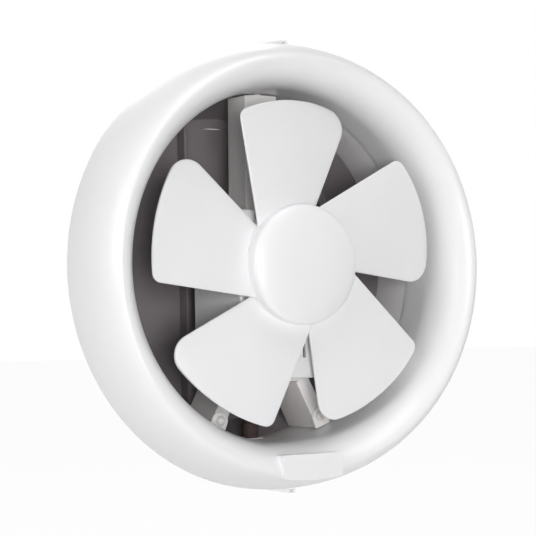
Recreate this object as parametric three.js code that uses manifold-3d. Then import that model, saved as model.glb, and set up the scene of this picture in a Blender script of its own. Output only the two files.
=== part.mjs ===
// Window exhaust fan for a round hole in a glass pane, 20 cm class.
// Units are millimetres and +Z is up. The fan's axis is the Y axis and +Y points outdoors.
// The origin is on that axis, at the indoor face of the pane. The indoor half (bezel, frame, motor
// and impeller) and the outdoor half (duct and shutter) clamp the glass between two gaskets.
import * as THREE from 'three';
import { mergeVertices } from 'three/addons/utils/BufferGeometryUtils.js';
import Module from 'manifold-3d';

const wasm = await Module();
wasm.setup();

// ---- Clearances ----
const FIT = 0.3; // between pieces that are pushed together by hand
const SEAT = 0.1; // between faces that are screwed or glued on each other
const SHAFT_PLAY = 0.06; // radial play of the shaft in its bearings
const PIN_PLAY = 0.15; // radial play of a screw or pin in its hole
const OVER = 1; // how far a cutting tool reaches past what it cuts

// ---- Window pane ----
const PANE_THICKNESS = 5;
const PANE_HOLE_MARGIN = 1.9; // from a clamp screw to the edge of the hole in the glass

// ---- Air passage ----
const THROAT_RADIUS = 108; // inside of the bezel
const TIP_GAP = 8; // from the blade tips to the throat
const DUCT_STEP = 0.5; // the duct behind the throat is this much wider
const DUCT_WALL = 2;
const DUCT_REAR_Y = 34;
const SLEEVE_GAP = 0.4; // between the indoor and the outdoor duct
const OUTDOOR_WALL = 1.8;
const OUTLET_TAPER = 10.5; // how much the outdoor duct narrows
const OUTLET_CONE_LENGTH = 26;
const SLEEVE_OVERRUN = 1; // of the outdoor duct's straight part past the indoor duct
const SLEEVE_LEAD_IN = 0.6;

// ---- Flanges, gaskets and clamp screws ----
const FLANGE_THICKNESS = 4;
const GASKET_THICKNESS = 3;
const GASKET_WIDTH = 6.5;
const GASKET_INSET = 1.5; // from the edge of the glass to the gasket
const INDOOR_FLANGE_LIP = 2; // beyond the gasket
const OUTDOOR_FLANGE_LIP = 0.5;
const CLAMP_SCREWS = 4;
const CLAMP_SCREW_RADIUS = 2;
const SCREW_HEAD_RADIUS = 3.8;
const SCREW_HEAD_HEIGHT = 2.6;
const NUT_RADIUS = 4.1; // over the corners
const NUT_HEIGHT = 3.2;
const SCREW_TIP = 2; // length that stands out of the nut
const RECESS_HALF_WIDTH = 0.4; // of the cross in a screw's head
const RECESS_SHARE = 0.4; // of the head's height
const HEAD_CROWN_SHARE = 0.75; // of the head's radius that is flat
const HEAD_SIDE_SHARE = 0.45; // of the head's height that is upright

// ---- Bezel ----
const BEZEL_WALL = 2;
const BEZEL_RIM_MARGIN = 6.5; // from the frame's flange to the outside of the rim
const RIM_PANE_GAP = 4.5;
const CREST_WIDTH = 16.5; // from the throat to the crest
const CREST_LEAD = 12.5; // how far the crest stands before the blades
const FLANK_LENGTH = 21.5; // straight part of the outer flank
const CREST_ROUND_OUT = 6;
const CREST_ROUND_IN = 6.5;
const MOUTH_DEPTH = 30.5; // from the crest to the straight throat
const MOUTH_EASE = 15.5; // how early the mouth's curve turns into the throat
const SOCKET_DEPTH = 8.6; // of the frame's socket that the throat plugs into
const CATCH_WIDTH = 18;
const CATCH_THICKNESS = 7;
const CATCH_PROUD = 2.2; // beyond the rim of the bezel
const CATCH_POST = 1.4;
const CATCH_NOTCH = 2.6; // between the ramp and the post
const CATCH_RAMP_FOOT = 0.5; // how far the ramp starts below the rim
const CATCH_ARM = 2;
const CATCH_Y = -13.5;
const BADGE_WIDTH = 42;
const BADGE_INNER = 5.5; // from the throat to the badge plate
const BADGE_HEIGHT = 15;
const BADGE_PROUD = 1.2; // before the crest
const BADGE_BULGE = 0.6; // of its round lower edge

// ---- Impeller ----
const BLADES = 5;
const BLADE_THICKNESS = 1.8;
const LEADING_LEAN = THREE.MathUtils.degToRad(9.8);
const LEADING_OFFSET = 23.8; // distance of the straight leading edge from the axis
const LEADING_CORNER = 6;
const TRAILING_LEAN = THREE.MathUtils.degToRad(-26.3);
const TRAILING_OFFSET = 1.9;
const TRAILING_CORNER = 12.5;
const LEADING_DEPTH = -1.2; // from the blade plane
const TRAILING_DEPTH_ROOT = 3;
const TRAILING_DEPTH_TIP = 6.8;
const BLADE_CAMBER = 1.5;
const BLADE_ROOT_SHARE = 0.6; // of the hub's wall that a blade's root reaches into
const HUB_RADIUS = 36.3;
const HUB_WALL = 2.2;
const HUB_REAR = 10.5; // behind the blade plane
const CAP_REAR = -2.8; // from the blade plane
const CAP_SKIRT = 5.2;
const CAP_DOME = 7.2;
const CAP_WALL = 2;
const CAP_DOME_FLAT = 0.62; // share of the radius over which the dome is nearly flat
const CAP_DOME_SHOULDER = 0.72; // share of the dome's height at its edge
const CAP_NECK_SHORT = 1.5; // from the end of the hub's neck to the cap's shoulder
const WEB_FRONT = 1; // of the hub's web, before the blade plane
const WEB_REAR = 2;
const BOSS_SHORT = 1; // from the rear of the hub to that of its boss
const BOSS_RADIUS = 8;
const BOSS_LEAD = 3.5; // before the blade plane
const SHAFT_NUT_RADIUS = 5.2; // over the corners
const SHAFT_NUT_HEIGHT = 4;
const CROSS_PIN_RADIUS = 1;
const CROSS_PIN_LENGTH = 12;
const SHAFT_CAP_GAP = 1;
const WASHER_THICKNESS = 0.8;

// ---- Motor ----
const SHAFT_RADIUS = 3;
const ROTOR_RADIUS = 14.5;
const AIR_GAP = 0.6;
const STACK_THICKNESS = 22;
const CORE_HALF_WIDTH = 29;
const CORE_TOP = 29;
const CORE_WEB = 9; // between the rotor's bore and the coil window
const WINDOW_HEIGHT = 16;
const WINDOW_HALF_WIDTH = 17.5;
const CORE_BAR = 14;
const CORE_CHAMFER = 6;
const COIL_THICKNESS = 11;
const BOBBIN_WALL = 1.2;
const COIL_END_GAP = 1; // from the bobbin to the side of the coil window
const COIL_SHY = 1; // of the winding below the bobbin's flanges
const FUSE_RADIUS = 1.8;
const FUSE_LENGTH = 14;
const STRAP_THICKNESS = 1.5;
const STRAP_RISE = 9.9; // of a bearing strap above the core
const STRAP_HALF_HEIGHT = 9;
const STRAP_FOOT = 9;
const STRAP_SLOPE = 5; // width of each slope of a strap
const STRAP_SLOPE_INSET = 0.8;
const BUSH_RADIUS = 6;
const BUSH_LENGTH = 7;
const BUSH_FLANGE = 1.5;
const BUSH_PLATE_GAP = 1;
const BUSH_PROUD = 1.5; // beyond the outside of its strap
const MOTOR_BOLT_RADIUS = 2;
const MOTOR_BOLT_INSET = 4.5; // from the side of the core
const MOTOR_BOLT_TAIL = 7; // that turns into the bracket's post
const MOTOR_BOLT_HEAD = 2.4;
const TERMINAL_HALF_WIDTH = 11;
const TERMINAL_HEIGHT = 11;
const TERMINAL_BASE = 5;
const TERMINAL_DEPTH = 9;
const TERMINAL_WALL = 1.6;
const TERMINAL_GAP = 6; // above the bearing strap
const COVER_WALL = 2;
const COVER_SIDE_GAP = 2;
const COVER_TOP_GAP = 3;
const COVER_BOTTOM_GAP = 2;
const COVER_FRONT_GAP = 6; // from the front bearing to the inside of the cover
const COVER_CORNER = 4;
const COVER_EDGE = 1.5; // chamfer around the front face
const COVER_SHAFT_GAP = 5;
const SLOT_X = 11.9;
const SLOT_Z = -52.4;
const SLOT_WIDTH = 2;
const SLOT_HEIGHT = 8.5;
const HUB_COVER_GAP = 2.5;

// ---- Motor bracket ----
const PLATE_THICKNESS = 3;
const PLATE_DUCT_SETBACK = 2.5; // from the rear edge of the duct
const SHELF_THICKNESS = 2.6;
const LEG_WIDTH = 9.4;
const LEG_WALL = 1.2;
const LEG_HOLLOW_LEAD = 3.4; // from the top of a leg to its hollow
const LEG_DUCT_GAP = 0.8; // from the end of a leg to the throat's wall
const LEG_SPREAD = THREE.MathUtils.degToRad(21);
const LEG_TOP_X = 24;
const FOOT_INSET = 7.7; // from the middle of a lower foot to the duct
const TOP_FOOT_INSET = 14;
const FOOT_BOSS_RADIUS = 5.5; // of the raised pad under a lower foot's screw
const FOOT_BOSS_HEIGHT = 1.2;
const EYE_THICKNESS = 3.5;
const LOWER_FOOT_Y = 0.7;
const TOP_FOOT_Y = 5.1;
const SPINE_HALF_WIDTH = 12;
const SPINE_TOP_HALF_WIDTH = 11.5;
const SPINE_WALL = 2.2;
const SPINE_SETBACK = 8.5; // from the rear of the plate to that of the spine
const PILLAR_RADIUS = 3.2;
const PILLAR_RIB_SHARE = 0.6; // of the pillar's radius
const PILOT_EXTRA = 2; // depth of a pillar's hole past the screw
const POST_RADIUS = 4;
const LEG_SCREW_RADIUS = 1.6;
const LEG_SCREW_DEPTH = 12;
const LEG_SCREW_HEAD_RADIUS = 3.1;
const LEG_SCREW_HEAD_HEIGHT = 2.2;

// ---- Cord gland ----
const CORD_X = 3.5;
const CORD_HOLE_RADIUS = 3.2;
const GLAND_WALL = 2.3;
const GLAND_HEAD = 11;
const GLAND_NECK_WALL = 1.4;
const GLAND_Y = 28;
const GLAND_BOSS = 1.8; // height above the duct's wall
const GLAND_BOSS_HALF_WIDTH = 7;
const GLAND_BOSS_LEAD = 6; // before the middle of the gland
const CORD_CHANNEL_HALF_WIDTH = 4.5;
const CORD_CHANNEL_DEPTH = 6.5; // outside the socket
const CORD_CHANNEL_LIP = 0.4; // left outside the socket
const OUTDOOR_CHANNEL_EXTRA = 1; // on each side
const RIM_NOTCH_DEPTH = 4;
const RIM_NOTCH_X = 16; // clear of the bottom catch

// ---- Shutter ----
const SEAT_WIDTH = 6;
const SEAT_THICKNESS = 3.5;
const RIM_HEIGHT = 3.5; // of the rim around the flaps
const RIM_WALL = 2.5;
const MULLION_HALF_WIDTH = 25.5;
const MULLION_RIB = 2.4;
const MULLION_RIB_DEPTH = 6;
const MULLION_ROOT = 3; // how far the middle bar runs into the seat
const HINGE_X = 23;
const HINGE_HEIGHT = 6.1; // of the pin above the seat
const FLAP_THICKNESS = 1.6;
const FLAP_EDGE_GAP = 2.5;
const FLAP_RIB_HEIGHT = 2;
const FLAP_RIB_HALF = 0.7;
const FLAP_RIB_START = 5; // from the hinge line
const FLAP_RIB_MARGIN = 6; // from the flap's edge
const RIB_ROOT = 0.5; // how deep a rib starts inside what carries it
const FLAP_RIBS_Z = [-66, -24, 24, 66];
const HINGE_PIN_RADIUS = 1.5;
const PIN_HEAD_RADIUS = 2.4;
const PIN_HEAD_HEIGHT = 1.2;
const PIN_TIP = 1.5;
const KNUCKLE_RADIUS = 2.9;
const KNUCKLE_LENGTH = 9;
const KNUCKLE_Z = 50;
const EAR_THICKNESS = 3;
const EAR_OUTSTAND = 1.2; // of an ear's foot beyond the hinge line
const SPRING_EAR_Z = 8; // inner face of the ears beside the spring
const SPRING_CURLS = 5;
const SPRING_STEPS = 8; // faces along each curl
const SPRING_WIRE_RADIUS = 0.4;
const SPRING_MEAN_RADIUS = 2.3;
const SPRING_PITCH = 1.7;
const SPRING_LEG = 15;

// ---- Facets ----
const RING_SIDES = 48;
const HUB_SIDES = 36;
const SHAFT_SIDES = 20;
const SCREW_SIDES = 12;

// ---- Places worked out from the sizes ----
const indoorFlangeRear = -GASKET_THICKNESS - SEAT;
const indoorFlangeFront = indoorFlangeRear - FLANGE_THICKNESS;
const outdoorFlangeFront = PANE_THICKNESS + GASKET_THICKNESS + SEAT;
const outdoorFlangeRear = outdoorFlangeFront + FLANGE_THICKNESS;

const socketInner = THROAT_RADIUS + BEZEL_WALL + FIT;
const socketOuter = socketInner + DUCT_WALL;
const ductInner = THROAT_RADIUS + DUCT_STEP;
const ductOuter = ductInner + DUCT_WALL;
const sleeveInner = ductOuter + SLEEVE_GAP;
const sleeveOuter = sleeveInner + OUTDOOR_WALL;
const clampCircle = sleeveOuter + NUT_RADIUS + FIT;
const paneHoleRadius = clampCircle + CLAMP_SCREW_RADIUS + PANE_HOLE_MARGIN;
const gasketInner = paneHoleRadius + GASKET_INSET;
const gasketOuter = gasketInner + GASKET_WIDTH;
const indoorFlangeRadius = gasketOuter + INDOOR_FLANGE_LIP;
const outdoorFlangeRadius = gasketOuter + OUTDOOR_FLANGE_LIP;
const rimRadius = indoorFlangeRadius + BEZEL_RIM_MARGIN;

const plateRear = DUCT_REAR_Y - PLATE_DUCT_SETBACK;
const plateFront = plateRear - PLATE_THICKNESS;
const rearBushEnd = plateFront - BUSH_PLATE_GAP;
const rearStrapOutside = rearBushEnd - BUSH_PROUD;
const bushNeck = BUSH_RADIUS - BUSH_FLANGE;
const coreRear = rearStrapOutside - STRAP_RISE - SEAT;
const coreFront = coreRear - STACK_THICKNESS;
const frontStrapOutside = coreFront - STRAP_RISE - SEAT;
const frontBushEnd = frontStrapOutside - BUSH_PROUD;
const coverInside = frontBushEnd - COVER_FRONT_GAP;
const coverFront = coverInside - COVER_WALL;
const bladePlane = coverFront - HUB_COVER_GAP - HUB_REAR;
const crestY = bladePlane - CREST_LEAD;

const socketBottom = indoorFlangeFront + SOCKET_DEPTH;
const legReach = THROAT_RADIUS - LEG_DUCT_GAP;
const outletRadius = ductInner - OUTLET_TAPER;
const kneeY = DUCT_REAR_Y + SLEEVE_OVERRUN;
const outletY = kneeY + OUTLET_CONE_LENGTH;
const seatY = outletY + SEAT_THICKNESS;
const seatInner = outletRadius - SEAT_WIDTH;
const flapRadius = outletRadius - FLAP_EDGE_GAP;
const hingeY = seatY + HINGE_HEIGHT;
const tipRadius = THROAT_RADIUS - TIP_GAP;

const boltX = CORE_HALF_WIDTH - MOTOR_BOLT_INSET;
const coverHalfWidth = CORE_HALF_WIDTH + COVER_SIDE_GAP + COVER_WALL;
const coverTop = CORE_TOP + COVER_TOP_GAP + COVER_WALL;
const windowTop = -(ROTOR_RADIUS + AIR_GAP + CORE_WEB);
const windowBottom = windowTop - WINDOW_HEIGHT;
const coreBottom = windowBottom - CORE_BAR;
const coilBottom = coreBottom - COIL_THICKNESS;
const coverBottom = coilBottom - COVER_BOTTOM_GAP - COVER_WALL;

const footAngles = {
  top: Math.PI / 2,
  left: -Math.PI / 2 - LEG_SPREAD,
  right: -Math.PI / 2 + LEG_SPREAD,
};
const footRadius = {
  top: ductInner - TOP_FOOT_INSET,
  left: ductInner - FOOT_INSET,
  right: ductInner - FOOT_INSET,
};
const footSeat = { top: TOP_FOOT_Y, left: LOWER_FOOT_Y, right: LOWER_FOOT_Y };
const footBoss = { top: 0, left: FOOT_BOSS_HEIGHT, right: FOOT_BOSS_HEIGHT };

// ---- Materials ----
const finish = (color, roughness, metalness = 0) =>
  new THREE.MeshStandardMaterial({ color, roughness, metalness });
const whitePlastic = finish(0xeeeff0, 0.35);
const bladePlastic = finish(0xe6e6e6, 0.4);
const paintedSteel = finish(0xd8d6d3, 0.5);
const framePlastic = finish(0xe2e1e0, 0.55);
const darkPlastic = finish(0x5b5256, 0.6);
const flapPlastic = finish(0x625a5c, 0.6);
const brownRubber = finish(0x423434, 0.8);
const blackFoam = finish(0x2c2c2e, 0.95);
const zincSteel = finish(0xb9bbb8, 0.35, 0.9);
const laminations = finish(0x6a6c70, 0.5, 0.8);
const copperWire = finish(0xa8623a, 0.4, 0.8);
const bronze = finish(0x9c7a48, 0.45, 0.8);
const nylon = finish(0xd9d4c4, 0.5);

// ---- Solids ----
// Merges the shared vertices of a closed geometry and turns it into a solid whose faces point out.
function solid(geometry) {
  const bare = geometry.clone();
  bare.deleteAttribute('normal');
  bare.deleteAttribute('uv');
  const welded = mergeVertices(bare, 1e-4);
  const points = welded.attributes.position;
  const index = welded.index.array;
  const a = new THREE.Vector3();
  const b = new THREE.Vector3();
  const c = new THREE.Vector3();
  const triangles = [];
  let volume = 0;
  for (let i = 0; i < index.length; i += 3) {
    const [p, q, r] = index.slice(i, i + 3);
    if (p === q || q === r || r === p) continue;
    triangles.push(p, q, r);
    a.fromBufferAttribute(points, p);
    b.fromBufferAttribute(points, q);
    c.fromBufferAttribute(points, r);
    volume += a.dot(b.cross(c));
  }
  if (volume < 0) triangles.reverse();
  return new wasm.Manifold(new wasm.Mesh({
    numProp: 3,
    vertProperties: new Float32Array(points.array),
    triVerts: new Uint32Array(triangles),
  }));
}

// A ring or dome turned about the Y axis from [radius, y] points.
function turned(profile, sides = RING_SIDES) {
  const points = profile.map(([radius, y]) => new THREE.Vector2(radius, y));
  const onAxis = profile[0][0] === 0 && profile.at(-1)[0] === 0;
  if (!onAxis) points.push(points[0].clone());
  return solid(new THREE.LatheGeometry(points, sides));
}

// A square-edged ring about the Y axis.
function ring(inner, outer, y0, y1, sides = RING_SIDES) {
  return turned([[inner, y0], [outer, y0], [outer, y1], [inner, y1]], sides);
}

function block([x0, y0, z0], [x1, y1, z1]) {
  const geometry = new THREE.BoxGeometry(x1 - x0, y1 - y0, z1 - z0);
  geometry.translate((x0 + x1) / 2, (y0 + y1) / 2, (z0 + z1) / 2);
  return solid(geometry);
}

// A round bar along the Y axis through (x, z).
function bar(radius, y0, y1, x = 0, z = 0, sides = SCREW_SIDES) {
  const geometry = new THREE.CylinderGeometry(radius, radius, y1 - y0, sides);
  geometry.translate(x, (y0 + y1) / 2, z);
  return solid(geometry);
}

// A round bar along the Z axis through (x, y).
function upright(radius, z0, z1, x = 0, y = 0, sides = SCREW_SIDES) {
  const geometry = new THREE.CylinderGeometry(radius, radius, z1 - z0, sides);
  geometry.rotateX(Math.PI / 2);
  geometry.translate(x, y, (z0 + z1) / 2);
  return solid(geometry);
}

// An outline of [x, z] points, or a Shape in those axes, pushed along Y.
function plate(outline, y0, y1) {
  const shape = outline instanceof THREE.Shape ? outline
    : new THREE.Shape(outline.map(([x, z]) => new THREE.Vector2(x, z)));
  const geometry = new THREE.ExtrudeGeometry(shape, {
    depth: y1 - y0, bevelEnabled: false, curveSegments: 4,
  });
  geometry.rotateX(Math.PI / 2);
  geometry.translate(0, y1, 0);
  return solid(geometry);
}

// An outline of [x, y] points pushed along Z.
function strip(outline, z0, z1) {
  const shape = new THREE.Shape(outline.map(([x, y]) => new THREE.Vector2(x, y)));
  const geometry = new THREE.ExtrudeGeometry(shape, { depth: z1 - z0, bevelEnabled: false });
  geometry.translate(0, 0, z0);
  return solid(geometry);
}

function roundedRectangle(x0, x1, z0, z1, radius) {
  const shape = new THREE.Shape();
  shape.moveTo(x0 + radius, z0);
  shape.lineTo(x1 - radius, z0);
  shape.absarc(x1 - radius, z0 + radius, radius, -Math.PI / 2, 0);
  shape.lineTo(x1, z1 - radius);
  shape.absarc(x1 - radius, z1 - radius, radius, 0, Math.PI / 2);
  shape.lineTo(x0 + radius, z1);
  shape.absarc(x0 + radius, z1 - radius, radius, Math.PI / 2, Math.PI);
  shape.lineTo(x0, z0 + radius);
  shape.absarc(x0 + radius, z0 + radius, radius, Math.PI, 1.5 * Math.PI);
  return shape;
}

const joined = (...solids) => solids.flat().reduce((sum, next) => sum.add(next));
const cut = (body, ...tools) => tools.flat().reduce((rest, tool) => rest.subtract(tool), body);

// A named piece of the fan. The shape is a solid, and the place is that of its own origin.
function piece(name, shape, material, place = [0, 0, 0], turn = [0, 0, 0]) {
  const { vertProperties, triVerts } = shape.getMesh();
  const geometry = new THREE.BufferGeometry();
  geometry.setAttribute('position', new THREE.BufferAttribute(vertProperties, 3));
  geometry.setIndex(new THREE.BufferAttribute(triVerts, 1));
  geometry.computeVertexNormals();
  const mesh = new THREE.Mesh(geometry, material);
  mesh.name = name;
  mesh.position.set(...place);
  mesh.rotation.set(...turn);
  return mesh;
}

function assembly(...pieces) {
  const group = new THREE.Group();
  group.add(...pieces.flat());
  return group;
}

const onCircle = (radius, angle) => [radius * Math.cos(angle), radius * Math.sin(angle)];
const clampAngles = Array.from(
  { length: CLAMP_SCREWS },
  (_, i) => Math.PI / 4 + (i * 2 * Math.PI) / CLAMP_SCREWS,
);

// ---- Fasteners ----
// A screw whose head rests on y = 0 and whose shank points to +Y.
function screwShape(shankRadius, shankLength, headRadius, headHeight) {
  const bottom = headHeight * (RECESS_SHARE - 1);
  const head = turned([
    [0, -headHeight], [headRadius * HEAD_CROWN_SHARE, -headHeight],
    [headRadius, -headHeight * HEAD_SIDE_SHARE],
    [headRadius, 0], [shankRadius, 0], [shankRadius, shankLength], [0, shankLength],
  ], SCREW_SIDES);
  const half = RECESS_HALF_WIDTH;
  return cut(
    head,
    block([-headRadius, -headHeight - OVER, -half], [headRadius, bottom, half]),
    block([-half, -headHeight - OVER, -headRadius], [half, bottom, headRadius]),
  );
}

// A hexagonal nut standing on y = 0.
function nutShape(boltRadius, cornerRadius, height) {
  return cut(
    bar(cornerRadius, 0, height, 0, 0, 6),
    bar(boltRadius + PIN_PLAY, -OVER, height + OVER, 0, 0),
  );
}

function clampSet() {
  const grip = outdoorFlangeRear + SEAT - (indoorFlangeFront - SEAT);
  return clampAngles.flatMap((angle, i) => {
    const [x, z] = onCircle(clampCircle, angle);
    const screw = screwShape(
      CLAMP_SCREW_RADIUS, grip + NUT_HEIGHT + SCREW_TIP, SCREW_HEAD_RADIUS, SCREW_HEAD_HEIGHT,
    );
    const nut = nutShape(CLAMP_SCREW_RADIUS, NUT_RADIUS, NUT_HEIGHT);
    return [
      piece(`clamp_screw_${i + 1}`, screw, zincSteel, [x, indoorFlangeFront - SEAT, z]),
      piece(`clamp_nut_${i + 1}`, nut, zincSteel, [x, outdoorFlangeRear + SEAT, z]),
    ];
  });
}

// ---- Bezel ----
// The outside of the bezel from its rear rim over the crest and down the throat.
function bezelContour(flankSteps, mouthSteps) {
  const rimY = -RIM_PANE_GAP;
  const crestRadius = THROAT_RADIUS + CREST_WIDTH;
  const flank = new THREE.CubicBezierCurve(
    new THREE.Vector2(rimRadius, rimY),
    new THREE.Vector2(rimRadius, rimY - FLANK_LENGTH),
    new THREE.Vector2(crestRadius + CREST_ROUND_OUT, crestY),
    new THREE.Vector2(crestRadius, crestY),
  );
  const mouth = new THREE.CubicBezierCurve(
    new THREE.Vector2(crestRadius, crestY),
    new THREE.Vector2(crestRadius - CREST_ROUND_IN, crestY),
    new THREE.Vector2(THROAT_RADIUS, crestY + MOUTH_DEPTH - MOUTH_EASE),
    new THREE.Vector2(THROAT_RADIUS, crestY + MOUTH_DEPTH),
  );
  const end = new THREE.Vector2(THROAT_RADIUS, socketBottom - FIT);
  return [...flank.getPoints(flankSteps), ...mouth.getPoints(mouthSteps).slice(1), end];
}

// Moves the bezel's contour towards the hollow inside of the bezel.
function offsetContour(points, distance) {
  return points.map((point, i) => {
    const before = points[Math.max(i - 1, 0)];
    const after = points[Math.min(i + 1, points.length - 1)];
    const along = after.clone().sub(before).normalize();
    return new THREE.Vector2(point.x + along.y * distance, point.y - along.x * distance);
  });
}

const asPairs = (points) => points.map(({ x, y }) => [x, y]);

function bezelShell() {
  const outside = bezelContour(7, 6);
  const inside = offsetContour(bezelContour(4, 3), BEZEL_WALL);
  return turned([...asPairs(outside), ...asPairs(inside).reverse()]);
}

const catchHalf = CATCH_WIDTH / 2;
const catchFront = CATCH_Y - CATCH_THICKNESS / 2;
const catchRear = CATCH_Y + CATCH_THICKNESS / 2;
const catchInner = indoorFlangeRadius + FIT;

function bezelRing() {
  const window = [1, -1].map((side) => {
    const low = [-catchHalf - FIT, catchFront - FIT, side > 0 ? catchInner : -rimRadius - OVER];
    const high = [catchHalf + FIT, catchRear + FIT, side > 0 ? rimRadius + OVER : -catchInner];
    return block(low, high);
  });
  const cordNotch = block(
    [RIM_NOTCH_X - CORD_CHANNEL_HALF_WIDTH, -RIM_PANE_GAP - RIM_NOTCH_DEPTH, -rimRadius - OVER],
    [RIM_NOTCH_X + CORD_CHANNEL_HALF_WIDTH, 0, -indoorFlangeRadius],
  );
  return piece('bezel_ring', cut(bezelShell(), window, cordNotch), whitePlastic);
}

// A spring catch of the bezel: a finger ramp and a post outside, and a hook over the flange inside.
function bezelCatch(name, flipped) {
  const top = rimRadius + CATCH_PROUD;
  const postInner = catchHalf - CATCH_POST;
  const rampTop = postInner - CATCH_NOTCH;
  const pad = plate([
    [-catchHalf, catchInner], [catchHalf, catchInner], [catchHalf, top], [postInner, top],
    [postInner, rimRadius], [rampTop, rimRadius], [rampTop, top],
    [-catchHalf, rimRadius - CATCH_RAMP_FOOT],
  ], catchFront, catchRear);
  const hookRear = indoorFlangeRear + FIT + CATCH_ARM / 2;
  const arm = block([-catchHalf, catchRear, catchInner], [catchHalf, hookRear, catchInner + CATCH_ARM]);
  const hook = block(
    [-catchHalf / 2, indoorFlangeRear + FIT, gasketOuter + 2 * FIT],
    [catchHalf / 2, hookRear, catchInner + CATCH_ARM / 2],
  );
  const shape = joined(pad, arm, hook);
  return piece(name, flipped ? shape.mirror([0, 0, 1]) : shape, whitePlastic);
}

// The blank raised plate at the bottom of the bezel. Its back follows the bezel's surface.
function badgePlate() {
  const innerRadius = THROAT_RADIUS + BADGE_INNER;
  const outerRadius = innerRadius + BADGE_HEIGHT;
  const half = BADGE_WIDTH / 2;
  const front = crestY - BADGE_PROUD;
  const blank = block([-half, front, -outerRadius - OVER], [half, crestY + MOUTH_DEPTH, -innerRadius]);
  const trimmed = blank.intersect(bar(outerRadius + BADGE_BULGE, front, 0, 0, 0, RING_SIDES));
  const contour = offsetContour(bezelContour(7, 6), -FIT);
  const back = turned([
    ...asPairs(contour), [THROAT_RADIUS + BEZEL_WALL, socketBottom], [rimRadius, socketBottom],
  ]);
  return piece('badge_plate', cut(trimmed, back), whitePlastic);
}

// ---- Frame ----
function mountFrame() {
  const shell = turned([
    [socketInner, indoorFlangeFront], [indoorFlangeRadius, indoorFlangeFront],
    [indoorFlangeRadius, indoorFlangeRear], [socketOuter, indoorFlangeRear],
    [socketOuter, socketBottom + DUCT_WALL / 2],
    [ductOuter, socketBottom + DUCT_WALL / 2 + socketOuter - ductOuter], [ductOuter, DUCT_REAR_Y],
    [ductInner, DUCT_REAR_Y], [ductInner, socketBottom], [socketInner, socketBottom],
  ]);
  const pillars = Object.entries(footAngles).map(([foot, angle]) => {
    const [x, z] = onCircle(footRadius[foot], angle);
    const [wx, wz] = onCircle(ductInner + DUCT_WALL / 2, angle);
    const front = footSeat[foot];
    const ribFront = Math.max(front, socketBottom);
    const ribHalf = PILLAR_RADIUS * PILLAR_RIB_SHARE;
    const rib = plate(barOutline([x, z], [wx, wz], ribHalf), ribFront, DUCT_REAR_Y);
    return joined(bar(PILLAR_RADIUS, front, DUCT_REAR_Y, x, z), rib);
  });
  const pilots = Object.entries(footAngles).map(([foot, angle]) => {
    const [x, z] = onCircle(footRadius[foot], angle);
    const front = footSeat[foot];
    const rear = front + LEG_SCREW_DEPTH + PILOT_EXTRA;
    return bar(LEG_SCREW_RADIUS + PIN_PLAY, front - OVER, rear, x, z);
  });
  const clampHoles = clampAngles.map((angle) => {
    const [x, z] = onCircle(clampCircle, angle);
    return bar(
      CLAMP_SCREW_RADIUS + PIN_PLAY, indoorFlangeFront - OVER, indoorFlangeRear + OVER, x, z,
    );
  });
  const glandBoss = block(
    [CORD_X - GLAND_BOSS_HALF_WIDTH, GLAND_Y - GLAND_BOSS_LEAD, -ductOuter + DUCT_WALL / 2],
    [CORD_X + GLAND_BOSS_HALF_WIDTH, DUCT_REAR_Y, -ductInner + GLAND_BOSS],
  );
  const neckHole = upright(
    CORD_HOLE_RADIUS + GLAND_NECK_WALL + FIT, -ductOuter - OVER, -ductInner + GLAND_BOSS + OVER,
    CORD_X, GLAND_Y,
  );
  const cordNotch = block(
    [CORD_X - CORD_CHANNEL_HALF_WIDTH, indoorFlangeFront - OVER, -socketOuter - CORD_CHANNEL_DEPTH],
    [CORD_X + CORD_CHANNEL_HALF_WIDTH, indoorFlangeRear + OVER, -socketOuter - CORD_CHANNEL_LIP],
  );
  const body = joined(shell, pillars, glandBoss);
  return piece('mount_frame', cut(body, pilots, clampHoles, neckHole, cordNotch), framePlastic);
}

function gaskets() {
  const indoor = ring(gasketInner, gasketOuter, -GASKET_THICKNESS, 0);
  const outdoor = ring(gasketInner, gasketOuter, 0, GASKET_THICKNESS);
  return [
    piece('indoor_gasket', indoor, blackFoam),
    piece('outdoor_gasket', outdoor, blackFoam, [0, PANE_THICKNESS, 0]),
  ];
}

// The outline of a straight bar of the given half width between two [x, z] points.
function barOutline([x0, z0], [x1, z1], half) {
  const length = Math.hypot(x1 - x0, z1 - z0);
  const nx = (-(z1 - z0) / length) * half;
  const nz = ((x1 - x0) / length) * half;
  return [[x0 + nx, z0 + nz], [x0 - nx, z0 - nz], [x1 - nx, z1 - nz], [x1 + nx, z1 + nz]];
}

// The brown bushing that the cord would pass through. Its neck sits in the frame's boss.
function cordGland() {
  const neckRadius = CORD_HOLE_RADIUS + GLAND_NECK_WALL;
  const headRadius = CORD_HOLE_RADIUS + GLAND_WALL;
  const shoulder = -ductInner + GLAND_BOSS + FIT;
  const body = joined(
    upright(headRadius, shoulder, shoulder + GLAND_HEAD),
    upright(neckRadius, -ductOuter, shoulder + OVER),
  );
  const hole = upright(CORD_HOLE_RADIUS, -ductOuter - OVER, shoulder + GLAND_HEAD + OVER);
  return piece('cord_gland', cut(body, hole), brownRubber, [CORD_X, GLAND_Y, 0]);
}

// ---- Motor bracket: a plate behind the motor on two lower legs and a spine to the top ----
function footShape(foot) {
  const [x, z] = onCircle(footRadius[foot], footAngles[foot]);
  const seat = footSeat[foot] - SEAT;
  const front = seat - EYE_THICKNESS;
  return { x, z, seat, front, face: front - footBoss[foot] };
}

const legEnd = () => bar(legReach, -DUCT_REAR_Y, DUCT_REAR_Y, 0, 0, RING_SIDES);

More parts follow.
